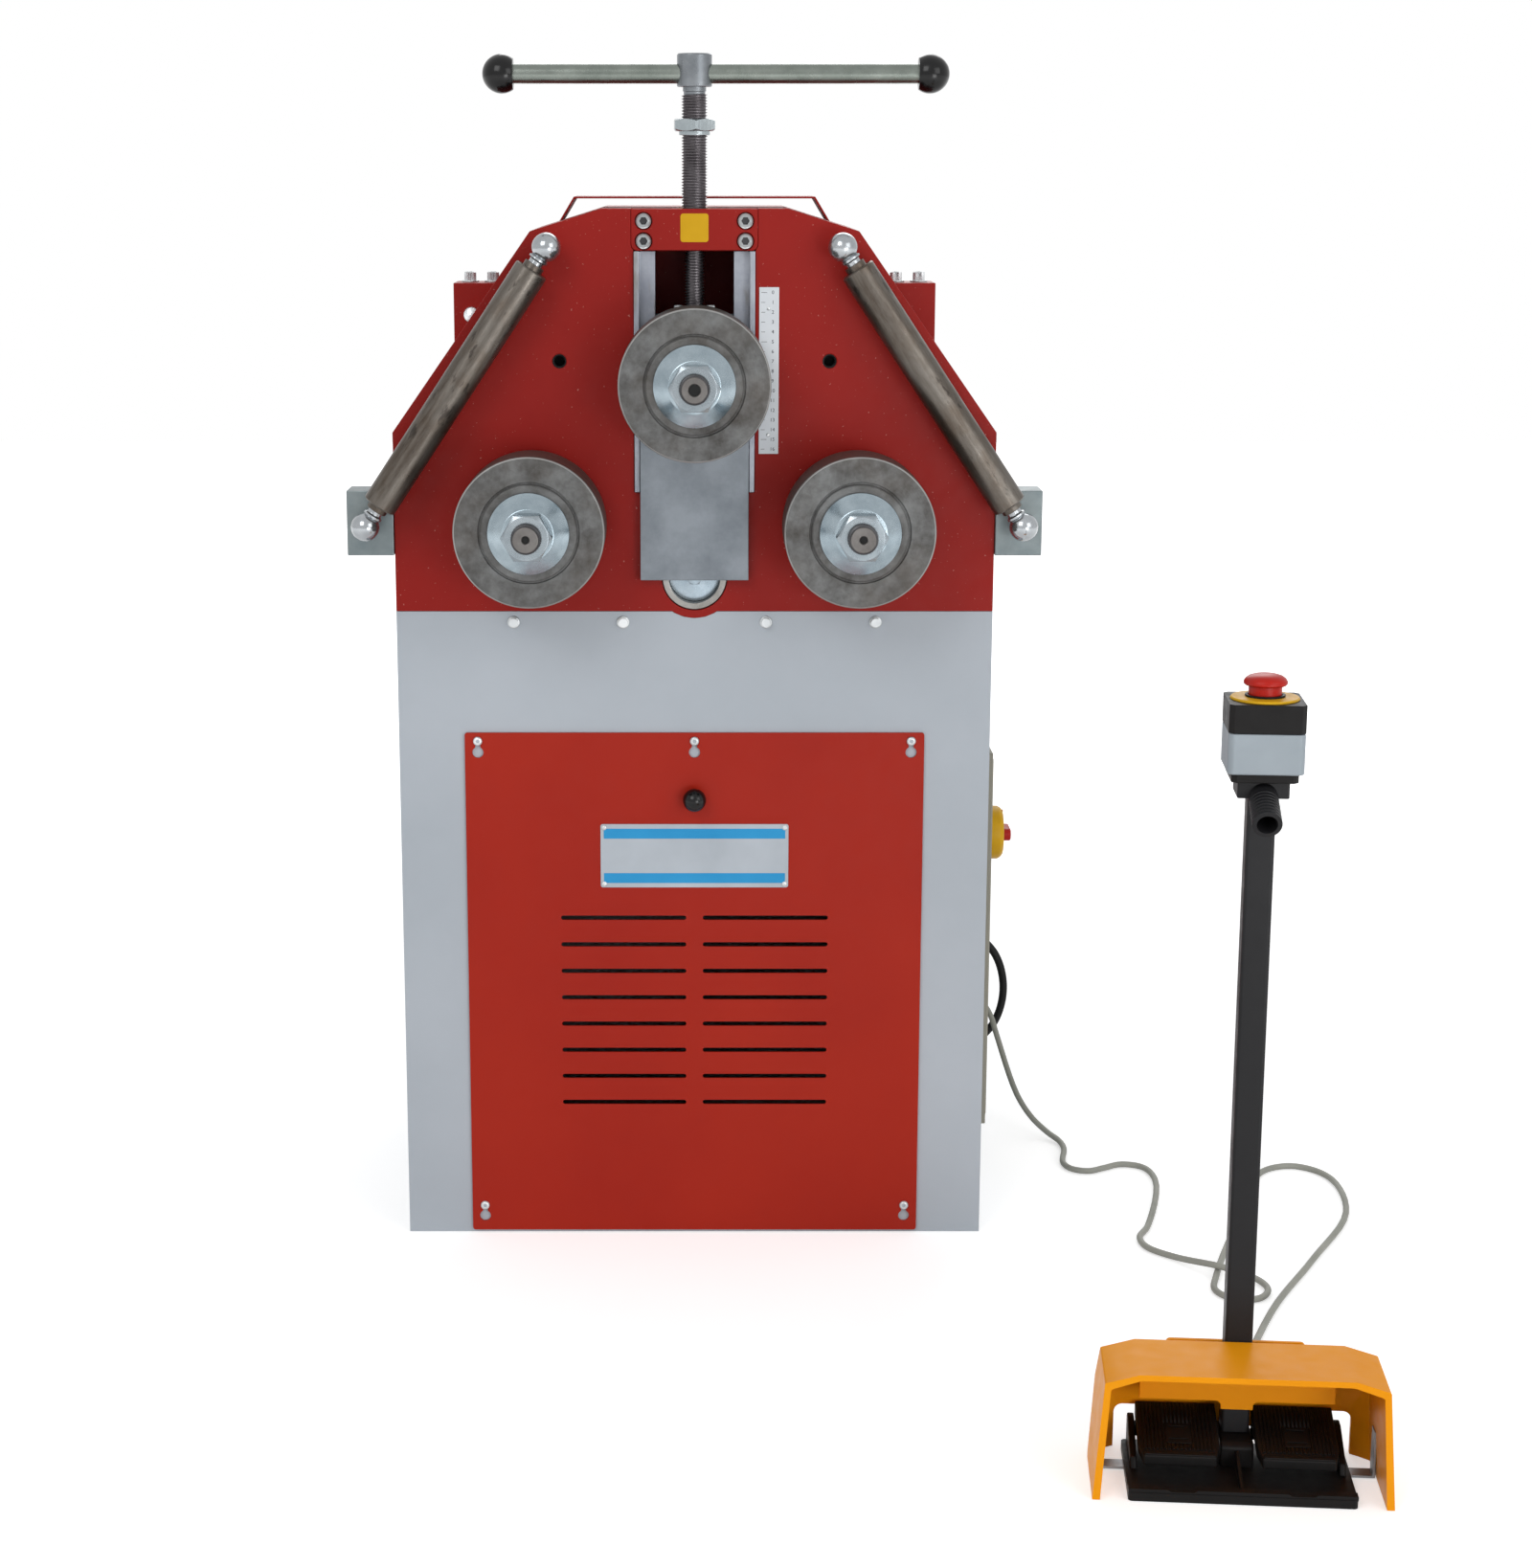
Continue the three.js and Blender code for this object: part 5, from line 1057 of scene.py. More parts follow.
def make_roller(side, body, hole_radius):
    """A roller with its washer, nut, end thread and a black plug of painted shade in its centre hole,
    riding on a body.

    Gives the place of its axis, its front and its shaft's steel."""
    low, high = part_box(f"{side}_roller")
    centre = (low + high) / 2
    at = (centre.x, 0, centre.z)
    radius = (high.z - low.z) / 2
    hub, back = low.y, high.y
    face = hub + 0.003
    bore = 0.0203
    chamfer = 0.0015
    profile = [(bore, hub), (0.0485, hub), (0.05, hub + 0.0012), (0.05, face + 0.002),
               (0.052, face + 0.002), (0.052, face + 0.0004), (0.0526, face), (radius - chamfer, face),
               (radius, face + chamfer), (radius, back - chamfer), (radius - chamfer, back),
               (bore, back), (bore, hub)]
    wheel = turn(f"{side}_roller_wheel", profile, at, "Y", 144, 0.0003)
    settle(wheel, body, roller_steel(side, at, radius), "ground_steel", f"{side}_roller")

    seat = hub - GAP
    tip = seat - 0.018
    bore = 0.0153
    profile = [(bore, tip), (0.026, tip), (0.0275, tip + 0.0008), (0.0418, seat - 0.0034),
               (0.042, seat - 0.0028), (0.042, seat - 0.0006), (0.0414, seat), (bore, seat), (bore, tip)]
    washer = turn(f"{side}_cone_washer", profile, at, "Y", edge=0.0003)
    dark, light = (134, 148, 156), (162, 175, 182)
    zinc = turned_steel(f"{side}_washer_zinc", at, "Y", dark, light, 0.2, mark=0.04, brushed=0.8)
    settle(washer, body, zinc, "zinc", f"{side}_clamp_nut")
    across_flats, nut_thick = 0.046, 0.024
    nut = hex_nut(f"{side}_hex_nut", across_flats, tip - nut_thick, tip, 0.0152, at, "Y")
    dark, light = (126, 136, 142), (150, 158, 163)
    settle(nut, body, turned_steel(f"{side}_nut_zinc", at, "Y", dark, light, 0.22, mark=0.06), "zinc",
           f"{side}_clamp_nut")
    dark, light = (84, 81, 79), (112, 109, 107)
    steel = turned_steel(f"{side}_shaft_steel", at, "Y", dark, light, 0.34, mark=0.1)
    end = hub - NOSE
    nose_radius, pitch, turns = 0.015, 0.002, 25
    start = (centre.x, end + END_DEPTH, centre.z)
    nose = thread(f"{side}_end_thread", nose_radius, pitch, turns, start, "Y")
    settle(nose, body, dark_fastener, "dark_steel")
    # A black rod in the shaft's centre hole is painted shade.
    shade = rod(f"{side}_centre_hole_shade", hole_radius - 0.0001, end + END_DEPTH, end + 0.02, at, "Y")
    settle(shade, body, rubber, "dark_steel")
    return at, hub, steel


def make_lower_sets():
    """The lower rollers with their shafts, gears and bushes, and the pinion between them."""
    front, back = FRONT + 0.07, FRONT + 0.1
    hub_back = back + 0.015
    pinion_turn, turns = gear_turns()
    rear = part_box("left_shaft")[1].y
    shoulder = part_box("head_rear_plate")[0].y - 0.0005
    flange_face, flange_back, bush_back = FRONT - GAP - 0.006, FRONT - GAP, FRONT + 0.045
    hole, bore = 0.0037, 0.0205
    for side, way in SIDES:
        body = f"{side}_roll"
        at, hub, steel = make_roller(side, body, hole)
        profile = [*shaft_nose(hub, flange_face - 0.0005, hole), (0.02, back), (0.032, back),
                   (0.032, hub_back), (0.02, hub_back), (0.02, shoulder), (0.015, shoulder),
                   (0.015, rear - 0.001), (0.014, rear), (0, rear)]
        shaft = turn(f"{side}_axle_bar", profile, at, "Y", edge=0.0002)
        wheel = gear(f"{side}_gear_wheel", GEAR_TEETH, at, turns[side], front, back)
        settle(join(f"{side}_drive_shaft", shaft, wheel), body, steel, "ground_steel", f"{side}_shaft")
        profile = [(bore, flange_face), (0.037, flange_face), (0.038, flange_face + 0.001),
                   (0.038, flange_back), (0.03, flange_back), (0.03, bush_back), (bore, bush_back),
                   (bore, flange_face)]
        bush = turn(f"{side}_flange_bush", profile, at, "Y")
        settle(bush, "machine", bronze, "bronze", f"{side}_bush")

    low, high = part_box("pinion_bearing")
    at = (0, 0, middle("pinion_bearing").z)
    radius = (high.z - low.z) / 2
    bore = 0.0271
    profile = [(bore, low.y + 0.0006), (0.0275, low.y), (radius - 0.001, low.y), (radius, low.y + 0.001),
               (radius, high.y), (bore, high.y), (bore, low.y + 0.0006)]
    steel = turned_steel("bearing_steel", at, "Y", (122, 120, 116), (150, 149, 146), 0.34, mark=0.06)
    settle(turn("bearing_ring", profile, at, "Y"), "machine", steel, "ground_steel", "pinion_bearing")

    low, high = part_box("pinion_shaft")
    bolt_thick = 0.006
    recess, tail = low.y + bolt_thick, high.y
    disc = 0.0269
    profile = [(0, recess), (0.011, recess), (0.0266, recess + 0.0012), (disc, recess + 0.0016),
               (disc, front), (0.032, front), (0.032, hub_back), (0.02, hub_back), (0.02, tail - 0.001),
               (0.019, tail), (0, tail)]
    shaft = turn("pinion_bar", profile, at, "Y")
    wheel = gear("pinion_wheel", PINION_TEETH, at, pinion_turn, front, back)
    bolt = hex_nut("pinion_bolt", 0.0156, recess - bolt_thick, recess, 0, at, "Y")
    dark, light = (134, 148, 158), (158, 170, 178)
    zinc = turned_steel("pinion_zinc", at, "Y", dark, light, 0.26, mark=0.0, brushed=0.6)
    whole = join("pinion_drive_shaft", shaft, wheel, bolt)
    settle(whole, "pinion", zinc, "ground_steel", "pinion_shaft")


def make_upper_set():
    """The upper roller, whose shaft ends in a collar behind the keeper."""
    hole = 0.0058
    at, hub, steel = make_roller("upper", "upper_roll", hole)
    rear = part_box("upper_shaft")[1].y
    collar = rear - 0.008
    profile = [*shaft_nose(hub, FRONT - 0.0125, hole), (0.02, collar), (0.027, collar),
               (0.028, collar + 0.001), (0.028, rear), (0, rear)]
    shaft = turn("upper_idle_shaft", profile, at, "Y", edge=0.0002)
    settle(shaft, "upper_roll", steel, "ground_steel", "upper_shaft")


# Side rolls on their slanted axles


def side_roll_steel(side, lean):
    """Dark steel with streaks and dark spots that run along a leaning roll."""
    finish = Finish(f"{side}_roll_dark_steel", 0.4, 0.8)
    streaks = finish.noise(60, 7, (1, 1, 7), 0.7, lean)
    tone = finish.colour(streaks, (0.34, (68, 59, 51)), (0.62, (108, 103, 97)))
    tone = finish.over(tone, finish.level(finish.noise(24, 5), 0.5, 0.7, 0, 0.5), (76, 61, 47))
    spots = finish.level(finish.noise(110, 4, (1, 1, 3), 0.6, lean), 0.6, 0.68, 0, 0.7)
    finish.over(tone, spots, (42, 37, 34))
    finish.gloss(finish.noise(60, 4), 0.26, 0.42)
    finish.relief(finish.noise(400, 4), 0.0002, 0.2)
    return finish.material


def make_side_rolls():
    """Rolls on slanted axles, each with a ball at either end and two studs behind."""
    ball = 0.015
    end_gap = 0.0207
    neck = 0.006
    swing = 52
    for side, way in SIDES:
        low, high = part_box(f"{side}_side_axle")
        foot_x, head_x = (low.x + ball, high.x - ball)[::-way]
        foot = Vector((foot_x, low.y + ball, low.z + ball))
        head = Vector((head_x, foot.y, high.z - ball))
        run = head - foot
        length = run.length
        lean = (0, math.atan2(run.x, run.z), 0)
        lower_ball = [(0, -ball), *arc((0, 0), ball, -88, swing, 24)]
        necks = [(0.0088, 0.0125), (0.0105, 0.0135), (0.0105, 0.0155), (0.0088, 0.0165),
                 (0.008, 0.0175)]
        upper_ball = [(wide, length - along) for wide, along in reversed([*lower_ball, *necks])]
        axle = turn("axle", [*lower_ball, *necks, *upper_ball], foot, lean, edge=0)
        start = foot.y + 0.008
        block_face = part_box(f"{side}_side_block")[0].y - GAP
        studs = []
        for spot, end in ((foot, block_face), (head, FRONT - GAP)):
            profile = [(0, start), (0.008, start), (0.008, end - 0.002), (0.0095, end - 0.002),
                       (0.0095, end), (0, end)]
            studs.append(turn("stud", profile, (spot.x, 0, spot.z), "Y", 64))
        dark, light = (150, 154, 158), (174, 178, 181)
        chrome = turned_steel(f"{side}_axle_chrome", foot, "Y", dark, light, 0.17, mark=0.02)
        settle(join(f"{side}_roll_axle", axle, *studs), "machine", chrome, "chrome", f"{side}_side_axle")

        start, end = end_gap, length - end_gap
        profile = [(0.0085, start), (0.0105, start), (0.011, start + 0.0005), (0.011, start + neck),
                   (0.0165, start + neck), (0.018, start + neck + 0.0015),
                   (0.018, end - neck - 0.0015), (0.0165, end - neck), (0.011, end - neck),
                   (0.011, end - 0.0005), (0.0105, end), (0.0085, end), (0.0085, start)]
        roll = turn(f"{side}_guide_roll", profile, foot, lean)
        settle(roll, f"{side}_side", side_roll_steel(side, lean), "dark_steel", f"{side}_side_roll")
        dress(f"{side}_side_block", block_steel, 0.001)


# Electrical enclosure with its switch, the gland and the loop cable


def make_enclosure():
    """Enclosure with its door and two locks, and the main switch."""
    dress("switch_enclosure", enclosure_paint, 0.0015)
    low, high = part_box("switch_enclosure")
    switch = middle("switch_base")
    at = (0, switch.y, switch.z)
    margin = 0.008
    thick = 0.0014
    centre = ((low.y + high.y) / 2, (low.z + high.z) / 2)
    outline = rounded((high.y - low.y) / 2 - margin, (high.z - low.z) / 2 - margin, 0.004, centre)
    door = plate("enclosure_door", outline, high.x, high.x + thick, "X", edge=0)
    drill(door, 0.0313, high.x, high.x, at, "X")
    round_edges(door, 0.0005)
    settle(door, "machine", enclosure_paint, "enclosure_paint")
    profile = [(0, 0), (0.009, 0), (0.009, 0.0014), (0.0075, 0.0026), (0, 0.0026)]
    lock = turn("lock", profile, axis="X", sides=48)
    slot_half, slot_reach, slot_floor = 0.0008, 0.006, 0.0012
    carve(lock, block("slot", (slot_floor, -slot_reach, -slot_half), (OVERRUN, slot_reach, slot_half)))
    places = [(high.x + thick, high.y - 0.026, z) for z in (low.z + 0.06, high.z - 0.06)]
    fasten("enclosure_locks", lock, places)

    low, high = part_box("switch_base")
    radius = (high.y - low.y) / 2
    start, end = low.x, high.x
    dish = end - 0.007
    profile = [(0, start), (radius, start), (radius, end - 0.006), (radius - 0.002, end - 0.0025),
               (radius - 0.005, end), (0.0235, end), (0.022, end - 0.0015), (0.022, dish), (0, dish)]
    base = turn("switch_ring", profile, at, "X")
    settle(base, "machine", yellow_plastic, "yellow_plastic", "switch_base")
    half, reach = 0.0021, 0.0247
    mark = block("mark", (end - 0.0004, -half, -half), (end + 0.0006, half, half), 0.0003)
    places = [(0, switch.y + reach, switch.z), (0, switch.y, switch.z + reach)]
    settle(repeat("switch_marks", mark, places), "machine", red_plastic, "red_plastic")
    low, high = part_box("switch_handle")
    start, end = low.x, high.x
    dial_end = start + 0.0055
    profile = [(0, start), (0.0195, start), (0.02, start + 0.001), (0.02, start + 0.0045),
               (0.0185, dial_end), (0, dial_end)]
    dial = turn("dial", profile, at, "X")
    outline = rounded(0.018, 0.0072, 0.006, (switch.y, switch.z))
    grip = plate("grip", outline, start + 0.003, end, "X", edge=0)
    round_edges(grip, 0.0022, 4)
    outline = rounded(0.006, 0.0009, 0.0008, (switch.y - 0.009, switch.z))
    line = plate("grip_line", outline, end - 0.0002, end + 0.0002, "X", edge=0)
    settle(line, "switch", strip_print, "red_plastic")
    settle(join("switch_grip", dial, grip), "switch", red_plastic, "red_plastic", "switch_handle")


def make_gland():
    """The gland that the control cable leaves by: a nut, a dome and a ribbed taper."""
    centre = middle("cable_gland")
    at = (0, centre.y, centre.z)
    low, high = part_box("cable_gland")
    start, end = low.x, high.x
    nut_end, taper_start = start + 0.007, start + 0.0125
    nut = hex_nut("gland_nut", 0.0165, start, nut_end, 0, at, "X")
    dome = [(0, nut_end), (0.0085, nut_end), (0.0092, start + 0.008), (0.0092, start + 0.0105),
            (0.0075, taper_start)]
    ribs = 5
    pitch = (end - taper_start) / ribs
    for rib in range(ribs):
        wide = 0.0068 - 0.0016 * rib / ribs
        along = taper_start + rib * pitch
        dome += [(wide, along + 0.2 * pitch), (wide, along + 0.65 * pitch),
                 (wide - 0.0008, along + 0.8 * pitch)]
    body = turn("gland_body", [*dome, (0.0048, end), (0, end)], at, "X", edge=0.0001)
    settle(join("gland_relief", nut, body), "machine", black_plastic, "black_plastic", "cable_gland")


def make_loop():
    """The short loop cable between its two fittings."""
    low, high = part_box("loop_cable")
    centre_y = (low.y + high.y) / 2
    wall = low.x
    bulge = high.x - 0.005
    radius = 0.009
    top, bottom = high.z - radius, low.z + radius
    halfway = (top + bottom) / 2
    drop = 0.4 * (top - halfway)
    fitting = 0.016
    hook = wall + 0.83 * (bulge - wall)
    inside, outside = wall + fitting / 2, wall + 1.5 * fitting
    bends = [(inside, top), (outside, top), (hook, top - drop), (bulge, halfway), (hook, bottom + drop),
             (outside, bottom), (inside, bottom)]
    route = [(x, centre_y, z) for x, z in bends]
    cable_radius = 0.0049
    cable = tube("loop_lead", smooth_route(route, 12), cable_radius)
    pick(cable)
    bpy.ops.object.convert(target="MESH")
    cable = bpy.context.active_object
    nut_end, sleeve_end = wall + 0.007, wall + fitting
    profile = [(0, nut_end), (0.0085, nut_end), (0.0085, wall + 0.011), (0.0062, sleeve_end),
               (0, sleeve_end)]
    ends = []
    for height in (top, bottom):
        at = (0, centre_y, height)
        ends.append(hex_nut("loop_nut", 0.0155, wall, nut_end, 0, at, "X"))
        ends.append(turn("loop_sleeve", profile, at, "X"))
    whole = join("loop_lead_with_glands", cable, *ends)
    settle(whole, "machine", rubber, "black_plastic", "loop_cable")


# Foot-pedal unit, modelled square and then set down and turned on the floor

PEDAL_PLACE = (0.4865, -0.915, 0)
PEDAL_TURN = (0, 0, math.radians(-4.8))
POLE = (0, 0.095, 0)
HINGE = (0, 0.1, 0.024)


def set_down(piece):
    """Moves a piece of the pedal unit to its place on the floor."""
    return place(piece, PEDAL_PLACE, PEDAL_TURN)


def make_pedal_base():
    """Floor with its notched lip, a ridge, a fin, an ear on either side and the hinge pin."""
    half, length, thick = 0.101, 0.11, 0.008
    outline = rounded(half, length / 2, 0.004, (0, length / 2))
    base = plate("pedal_floor", outline, 0, thick, "Z", edge=0)
    sunk = thick - 0.001
    lip_top, notch_floor = 0.0115, 0.0095
    lip = [(-half, sunk), (half, sunk), (half, lip_top)]
    for way in (1, -1):
        near, far = 0.04 * way, 0.066 * way
        slope = 0.003 * way
        notch = [(far, lip_top), (far - slope, notch_floor), (near + slope, notch_floor),
                 (near, lip_top)]
        lip += notch[::way]
    lip += [(-half, lip_top)]
    rim = plate("pedal_lip", lip, 0.0005, 0.01, edge=0.0006)
    ridge_outline = [(0.06, 0), (0.11, 0), (0.11, 0.0305), (0.066, 0.0305), (0.06, 0.026)]
    ridge = plate("pedal_ridge", ridge_outline, -0.015, 0.015, "X", edge=0.002)
    fin_outline = [(0.0095, sunk), (0.061, sunk), (0.061, 0.024), (0.0095, 0.0112)]
    fin = plate("pedal_fin", fin_outline, -0.0015, 0.0015, "X", edge=0.0004)
    cheek = [(0.048, thick / 2), (0.109, thick / 2), (0.109, 0.033), (0.105, 0.037), (0.094, 0.037),
             (0.052, 0.018)]
    ears = [plate("ear", cheek, *sorted((way * 0.0905, way * 0.0965)), "X", edge=0.0012)
            for side, way in SIDES]
    pin_radius, pin_half = 0.003, 0.0935
    pin = rod("hinge_pin", pin_radius, -pin_half, pin_half, HINGE, "X", edge=0.0003)
    whole = set_down(join("pedal_base_casting", base, rim, ridge, fin, *ears, pin))
    settle(whole, "machine", black_plastic, "black_plastic", "pedal_base")


def make_treadle(side, way):
    """A treadle on its barrel, with cross ribs, a patch between them and a rim at the front."""
    inner, width = 0.0165, 0.073
    x0, x1 = sorted((way * inner, way * (inner + width)))
    middle_x = (x0 + x1) / 2
    front, rear = 0.035, 0.109
    front_low, front_high, rear_low, rear_high = 0.018, 0.029, 0.034, 0.0485
    rib_height = 0.0012
    section = [(front, front_low), (rear, rear_low), (rear, rear_high - rib_height),
               (front, front_high - rib_height)]
    body = plate("treadle_body", section, x0, x1, "X", edge=0)
    corner = 0.004
    taper = 0.018
    plan = [(x0, front + taper), (x0 + corner, front), (x1 - corner, front), (x1, front + taper),
            (x1, rear), (x0, rear)]
    above = 0.06
    carve(body, plate("plan", plan, 0, above, "Z", edge=0), "INTERSECT")
    round_edges(body, 0.0015, 3)
    barrel = ring("barrel", 0.0035, 0.007, x0, x1, HINGE, "X")
    slope = math.atan2(rear_high - front_high, rear - front)
    run = math.hypot(rear_high - front_high, rear - front)
    pitch = 0.0036
    rib_half = 0.0009
    count = int((width - 0.006) / pitch)
    first = middle_x - (count - 1) * pitch / 2
    low, high = (first - rib_half, 0.0085, -rib_height - 0.0005), (first + rib_half, run - 0.003, 0)
    rib = block("rib", low, high, 0.0004)
    apply_modifier(rib, "ARRAY", count=count, use_relative_offset=False, use_constant_offset=True,
                   constant_offset_displace=(pitch, 0, 0))
    patch_half = 0.0126
    patch_y = 0.031
    patch_deep = 0.0145
    rim_gap = 0.001
    carve(rib, block("gap", (middle_x - patch_half, patch_y - patch_deep, -OVERRUN),
                     (middle_x + patch_half, patch_y + patch_deep, OVERRUN)))
    outline = rounded(patch_half - rim_gap, patch_deep - rim_gap, 0.002, (middle_x, patch_y))
    patch = plate("patch", outline, -0.0015, -0.0004, "Z", edge=0)
    slot = plate("slot", rounded(0.0085, 0.0014, 0.0007), -OVERRUN, OVERRUN, "Z", edge=0)
    shift = 0.0085
    spots = [(middle_x, patch_y - shift, 0), (middle_x, patch_y + shift, 0)]
    carve(patch, repeat("slots", slot, spots))
    low, high = (x0 + corner + rim_gap, 0.0006, -0.0022), (x1 - corner - rim_gap, 0.0034, -0.0001)
    rim = block("rim", low, high, 0.0008)
    round_edges(patch, 0.0003)
    top = join("tread", rib, patch, rim)
    place(top, (0, front, front_high), (slope, 0, 0))
    whole = set_down(join(f"treadle_{side}_plate", body, barrel, top))
    settle(whole, f"{side}_pedal", black_plastic, "black_plastic", f"treadle_{side}")


def hood_body(name, wall, front, floor, edge):
    """The hood's outer form, or its inner form a wall further in, as the hull of four rows of points."""
    miter = 0.58
    crown_share = 0.25
    top = 0.094
    section = (0.135, 0.1245, 0.111, top, 0.12)
    rows = [(front, 0, *section), (0.081, miter, *section),
            (0.103, miter, 0.1335, 0.127, 0.076, top, 0.082),
            (0.118, 1, 0.115, 0.113, 0.048, top, 0.054)]
    points = []
    for y, share, foot_half, shoulder_half, shoulder_top, top_half, crown in rows:
        back = y - wall * share
        half = [(foot_half - wall, back, floor), (shoulder_half - wall, back, shoulder_top - wall),
                (top_half - wall * crown_share, back, crown - wall)]
        points += half + [(-x, y_at, z) for x, y_at, z in half]
    body = draw(name, points)
    bpy.ops.mesh.convex_hull()
    close_up()
    return apply_modifier(body, "BEVEL", width=edge, segments=5, limit_method="ANGLE",
                          angle_limit=math.radians(18))


def trim(piece, at, normal):
    """Cuts off what lies beyond a plane, on the side that its normal points to, and closes the cut."""
    pick(piece)
    bpy.ops.object.mode_set(mode="EDIT")
    bpy.ops.mesh.select_all(action="SELECT")
    bpy.ops.mesh.bisect(plane_co=at, plane_no=normal, use_fill=True, clear_outer=True)
    bpy.ops.object.mode_set(mode="OBJECT")
    return piece


def make_hood():
    """Hood with its rear opening and the notch for the pole, its bracket, web and strap."""
    spare = 0.03
    wall = 0.0055
    shell = hood_body("hood_shell", 0, -spare, -spare, 0.007)
    trim(shell, (0, 0, 0), (0, 0, -1))
    trim(shell, (0, 0, 0), (0, -1, 0))
    carve(shell, hood_body("hood_inside", wall, -2 * spare, -2 * spare, 0.003))
    half = 0.1083
    tab_half, tab_low = 0.02, 0.024
    top = 0.042
    corner = 0.008
    arc_z = top - corner
    opening = [(-half, -OVERRUN), (half, -OVERRUN), *arc((half - corner, arc_z), corner, 0, 90, 6),
               *arc((tab_half + corner, arc_z), corner, 90, 180, 6), (tab_half, tab_low),
               (-tab_half, tab_low), *arc((-tab_half - corner, arc_z), corner, 0, 90, 6),
               *arc((corner - half, arc_z), corner, 90, 180, 6)]
    carve(shell, plate("rear_opening", opening, 0.1085, 0.13, edge=0), folded=True)
    pole_half = 0.0128
    notch_front, bracket_y = POLE[1] - pole_half, POLE[1] + pole_half
    notch = block("notch", (-pole_half, notch_front, -OVERRUN), (pole_half, bracket_y, 0.2))
    carve(shell, notch, folded=True)
    round_edges(shell, 0.0006, limit=30)
    bracket_half = 0.063
    bracket_top = 0.1095
    corner = 0.004
    corner_z = bracket_top - corner
    bracket_outline = [(-bracket_half, 0.07), (bracket_half, 0.07),
                       *arc((bracket_half - corner, corner_z), corner, 0, 90, 6),
                       *arc((corner - bracket_half, corner_z), corner, 90, 180, 6)]
    bracket = plate("hood_bracket", bracket_outline, bracket_y, bracket_y + 0.004, edge=0.0006)
    web_half, web_low, web_top = 0.088, 0.0635, 0.1145
    tongue_half, tongue_low, bend = 0.0145, 0.0555, 0.005
    bend_z = web_low - bend
    web_outline = [(-web_half, web_top), (-web_half, web_low),
                   *arc((-tongue_half - bend, bend_z), bend, 90, 0, 5), (-tongue_half, tongue_low),
                   (tongue_half, tongue_low), *arc((tongue_half + bend, bend_z), bend, 180, 90, 5),
                   (web_half, web_low), (web_half, web_top)]
    web = plate("hood_web", web_outline, 0.0775, 0.0812, edge=0.0006)
    whole = set_down(join("hood_casting", shell, bracket, web))
    settle(whole, "machine", orange_paint, "orange_paint", "pedal_hood")
    dress("hood_strap", strap_steel, 0.0004)


def make_stand():
    """Square pole with the clamp at its top and the short ribbed tube in front of that."""
    half = 0.0125
    y = POLE[1]
    foot, top = 0.0313, 0.6403
    pole = plate("pole", rounded(half, half, 0.003, (0, y)), foot, top, "Z", edge=0.0003)
    clamp_half, clamp_deep = 0.0225, 0.02
    outline = rounded(clamp_half, clamp_deep, 0.002, (0, y))
    clamp = plate("clamp", outline, top - 0.015, top, "Z", edge=0.0008)
    slope = math.radians(22)
    radius, bore, mouth = 0.013, 0.009, -0.045
    groove = radius - 0.0012
    ribs = 8
    pitch = 0.0046
    profile = [(0, -0.009), (bore, -0.009), (bore, mouth)]
    for rib in range(ribs):
        along = mouth + rib * pitch
        profile += [(radius, along + 0.0004), (radius, along + 0.003), (groove, along + 0.0036),
                    (groove, along + pitch - 0.0004)]
    profile += [(radius, -0.006), (radius, 0), (0, 0)]
    at = (0, y - clamp_deep + radius * math.tan(slope), top - radius)
    barrel = turn("cable_tube", profile, at, (slope - math.pi / 2, 0, 0), edge=0.0002)
    whole = set_down(join("stand_tube", pole, clamp, barrel))
    settle(whole, "machine", black_paint, "black_paint", "stand_pole")


def chamfered(half):
    """Outline of a square round the pole, with its corners cut off."""
    flat = half - 0.004
    corners = [(-flat, -half), (flat, -half), (half, -flat), (half, flat), (flat, half), (-flat, half),
               (-half, flat), (-half, -flat)]
    return [(across, POLE[1] + along) for across, along in corners]


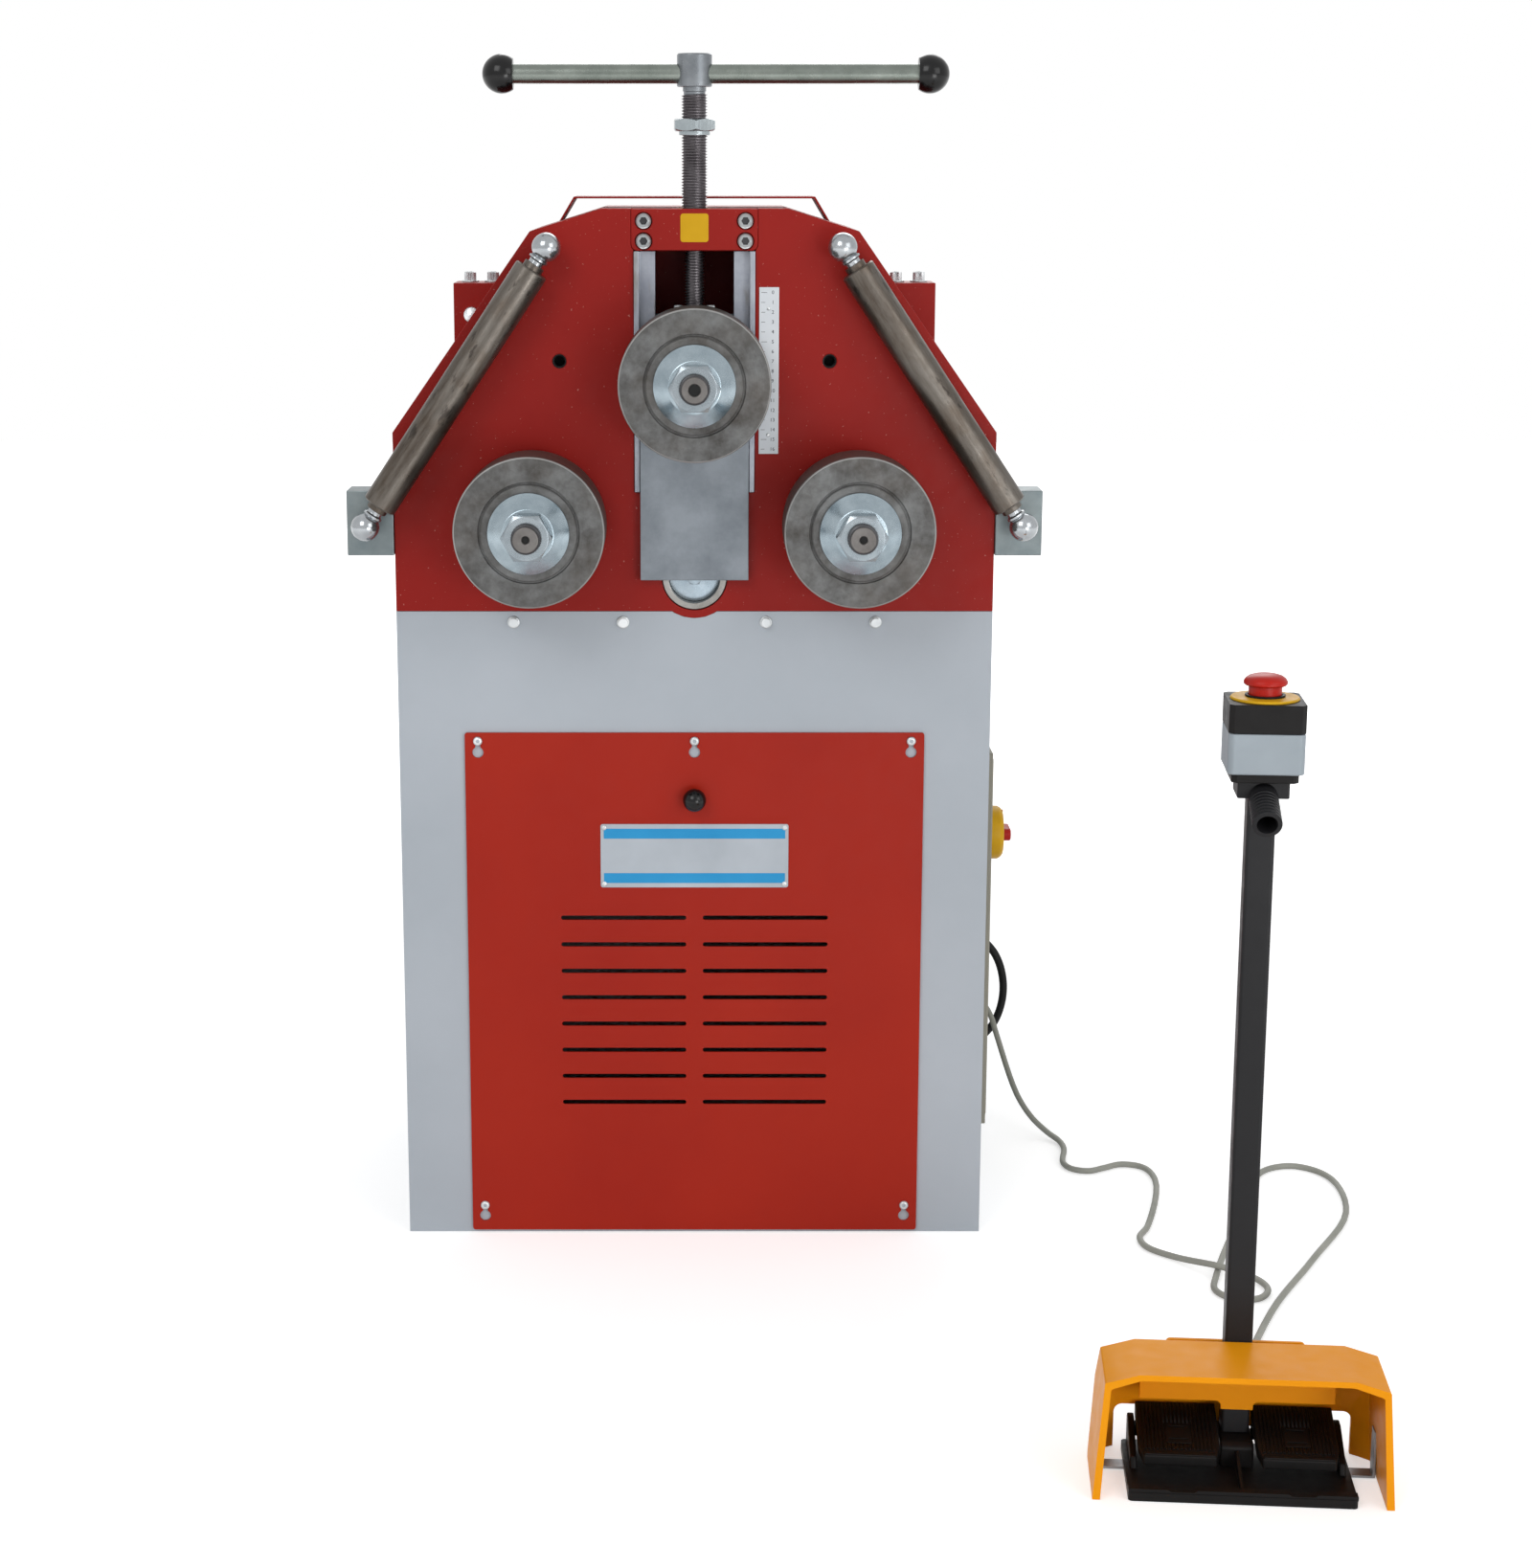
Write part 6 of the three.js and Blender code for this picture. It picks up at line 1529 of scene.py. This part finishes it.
def make_stop():
    """Stop box with its flange and lid, the yellow ring, a collar and the mushroom button."""
    flange_half, box_half = 0.029, 0.033
    low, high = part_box("stop_box")
    flange_top = low.z + 0.008
    flange = plate("stop_flange", chamfered(flange_half), low.z, flange_top + 0.0005, "Z", edge=0.001)
    settle(set_down(flange), "machine", black_plastic, "black_plastic", "stop_box")
    box = plate("stop_case", chamfered(box_half), flange_top, high.z, "Z", edge=0.0016)
    settle(set_down(box), "machine", light_plastic, "light_plastic", "stop_box")
    low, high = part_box("stop_lid")
    ring_thick = 0.0025
    lid_top, ring_top = high.z - ring_thick, high.z
    bore, seat = 0.0115, 0.0149
    lid = plate("stop_cover", chamfered(box_half), low.z, lid_top, "Z", edge=0)
    drill(lid, bore, low.z, lid_top, POLE)
    carve(lid, rod("seat", seat, lid_top - 0.008, lid_top + OVERRUN, POLE))
    round_edges(lid, 0.0016, 3)
    settle(set_down(lid), "machine", black_plastic, "black_plastic", "stop_lid")
    profile = [(seat, lid_top), (0.0298, lid_top), (0.03, lid_top + 0.001), (0.029, ring_top - 0.0002),
               (0.019, ring_top), (seat, ring_top), (seat, lid_top)]
    disc = turn("stop_ring", profile, POLE, edge=0.0002)
    settle(set_down(disc), "machine", yellow_plastic, "yellow_plastic", "stop_lid")
    collar = ring("stop_collar", seat, 0.0174, lid_top + 0.001, ring_top + 0.0018, POLE)
    settle(set_down(collar), "machine", black_plastic, "black_plastic", "stop_lid")
    low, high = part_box("stop_button")
    cap_low = high.z - 0.011
    skirt = cap_low - 0.0095
    stem = 0.0108
    cap = [(0.0145, 0.0004), (0.0174, 0.0008), (0.0189, 0.002), (0.019, 0.0042), (0.0175, 0.0066),
           (0.0146, 0.0088), (0.01, 0.0102), (0.005, 0.0108)]
    profile = [(0, low.z), (stem, low.z), (stem, skirt), (0.0138, skirt), (0.0143, skirt + 0.0006),
               *((wide, cap_low + up) for wide, up in cap), (0, high.z)]
    button = turn("stop_mushroom", profile, POLE, edge=0.0003)
    settle(set_down(button), "stop", red_plastic, "red_plastic", "stop_button")


make_cabinet()
make_panel()
make_head()
make_crossbar()
make_scale()
make_slide()
make_screw()
make_bar()
make_lower_sets()
make_upper_set()
make_side_rolls()
make_enclosure()
make_gland()
make_loop()
make_pedal_base()
for side, way in SIDES:
    make_treadle(side, way)
make_hood()
make_stand()
make_stop()
dress("gearmotor", cast_iron, 0)
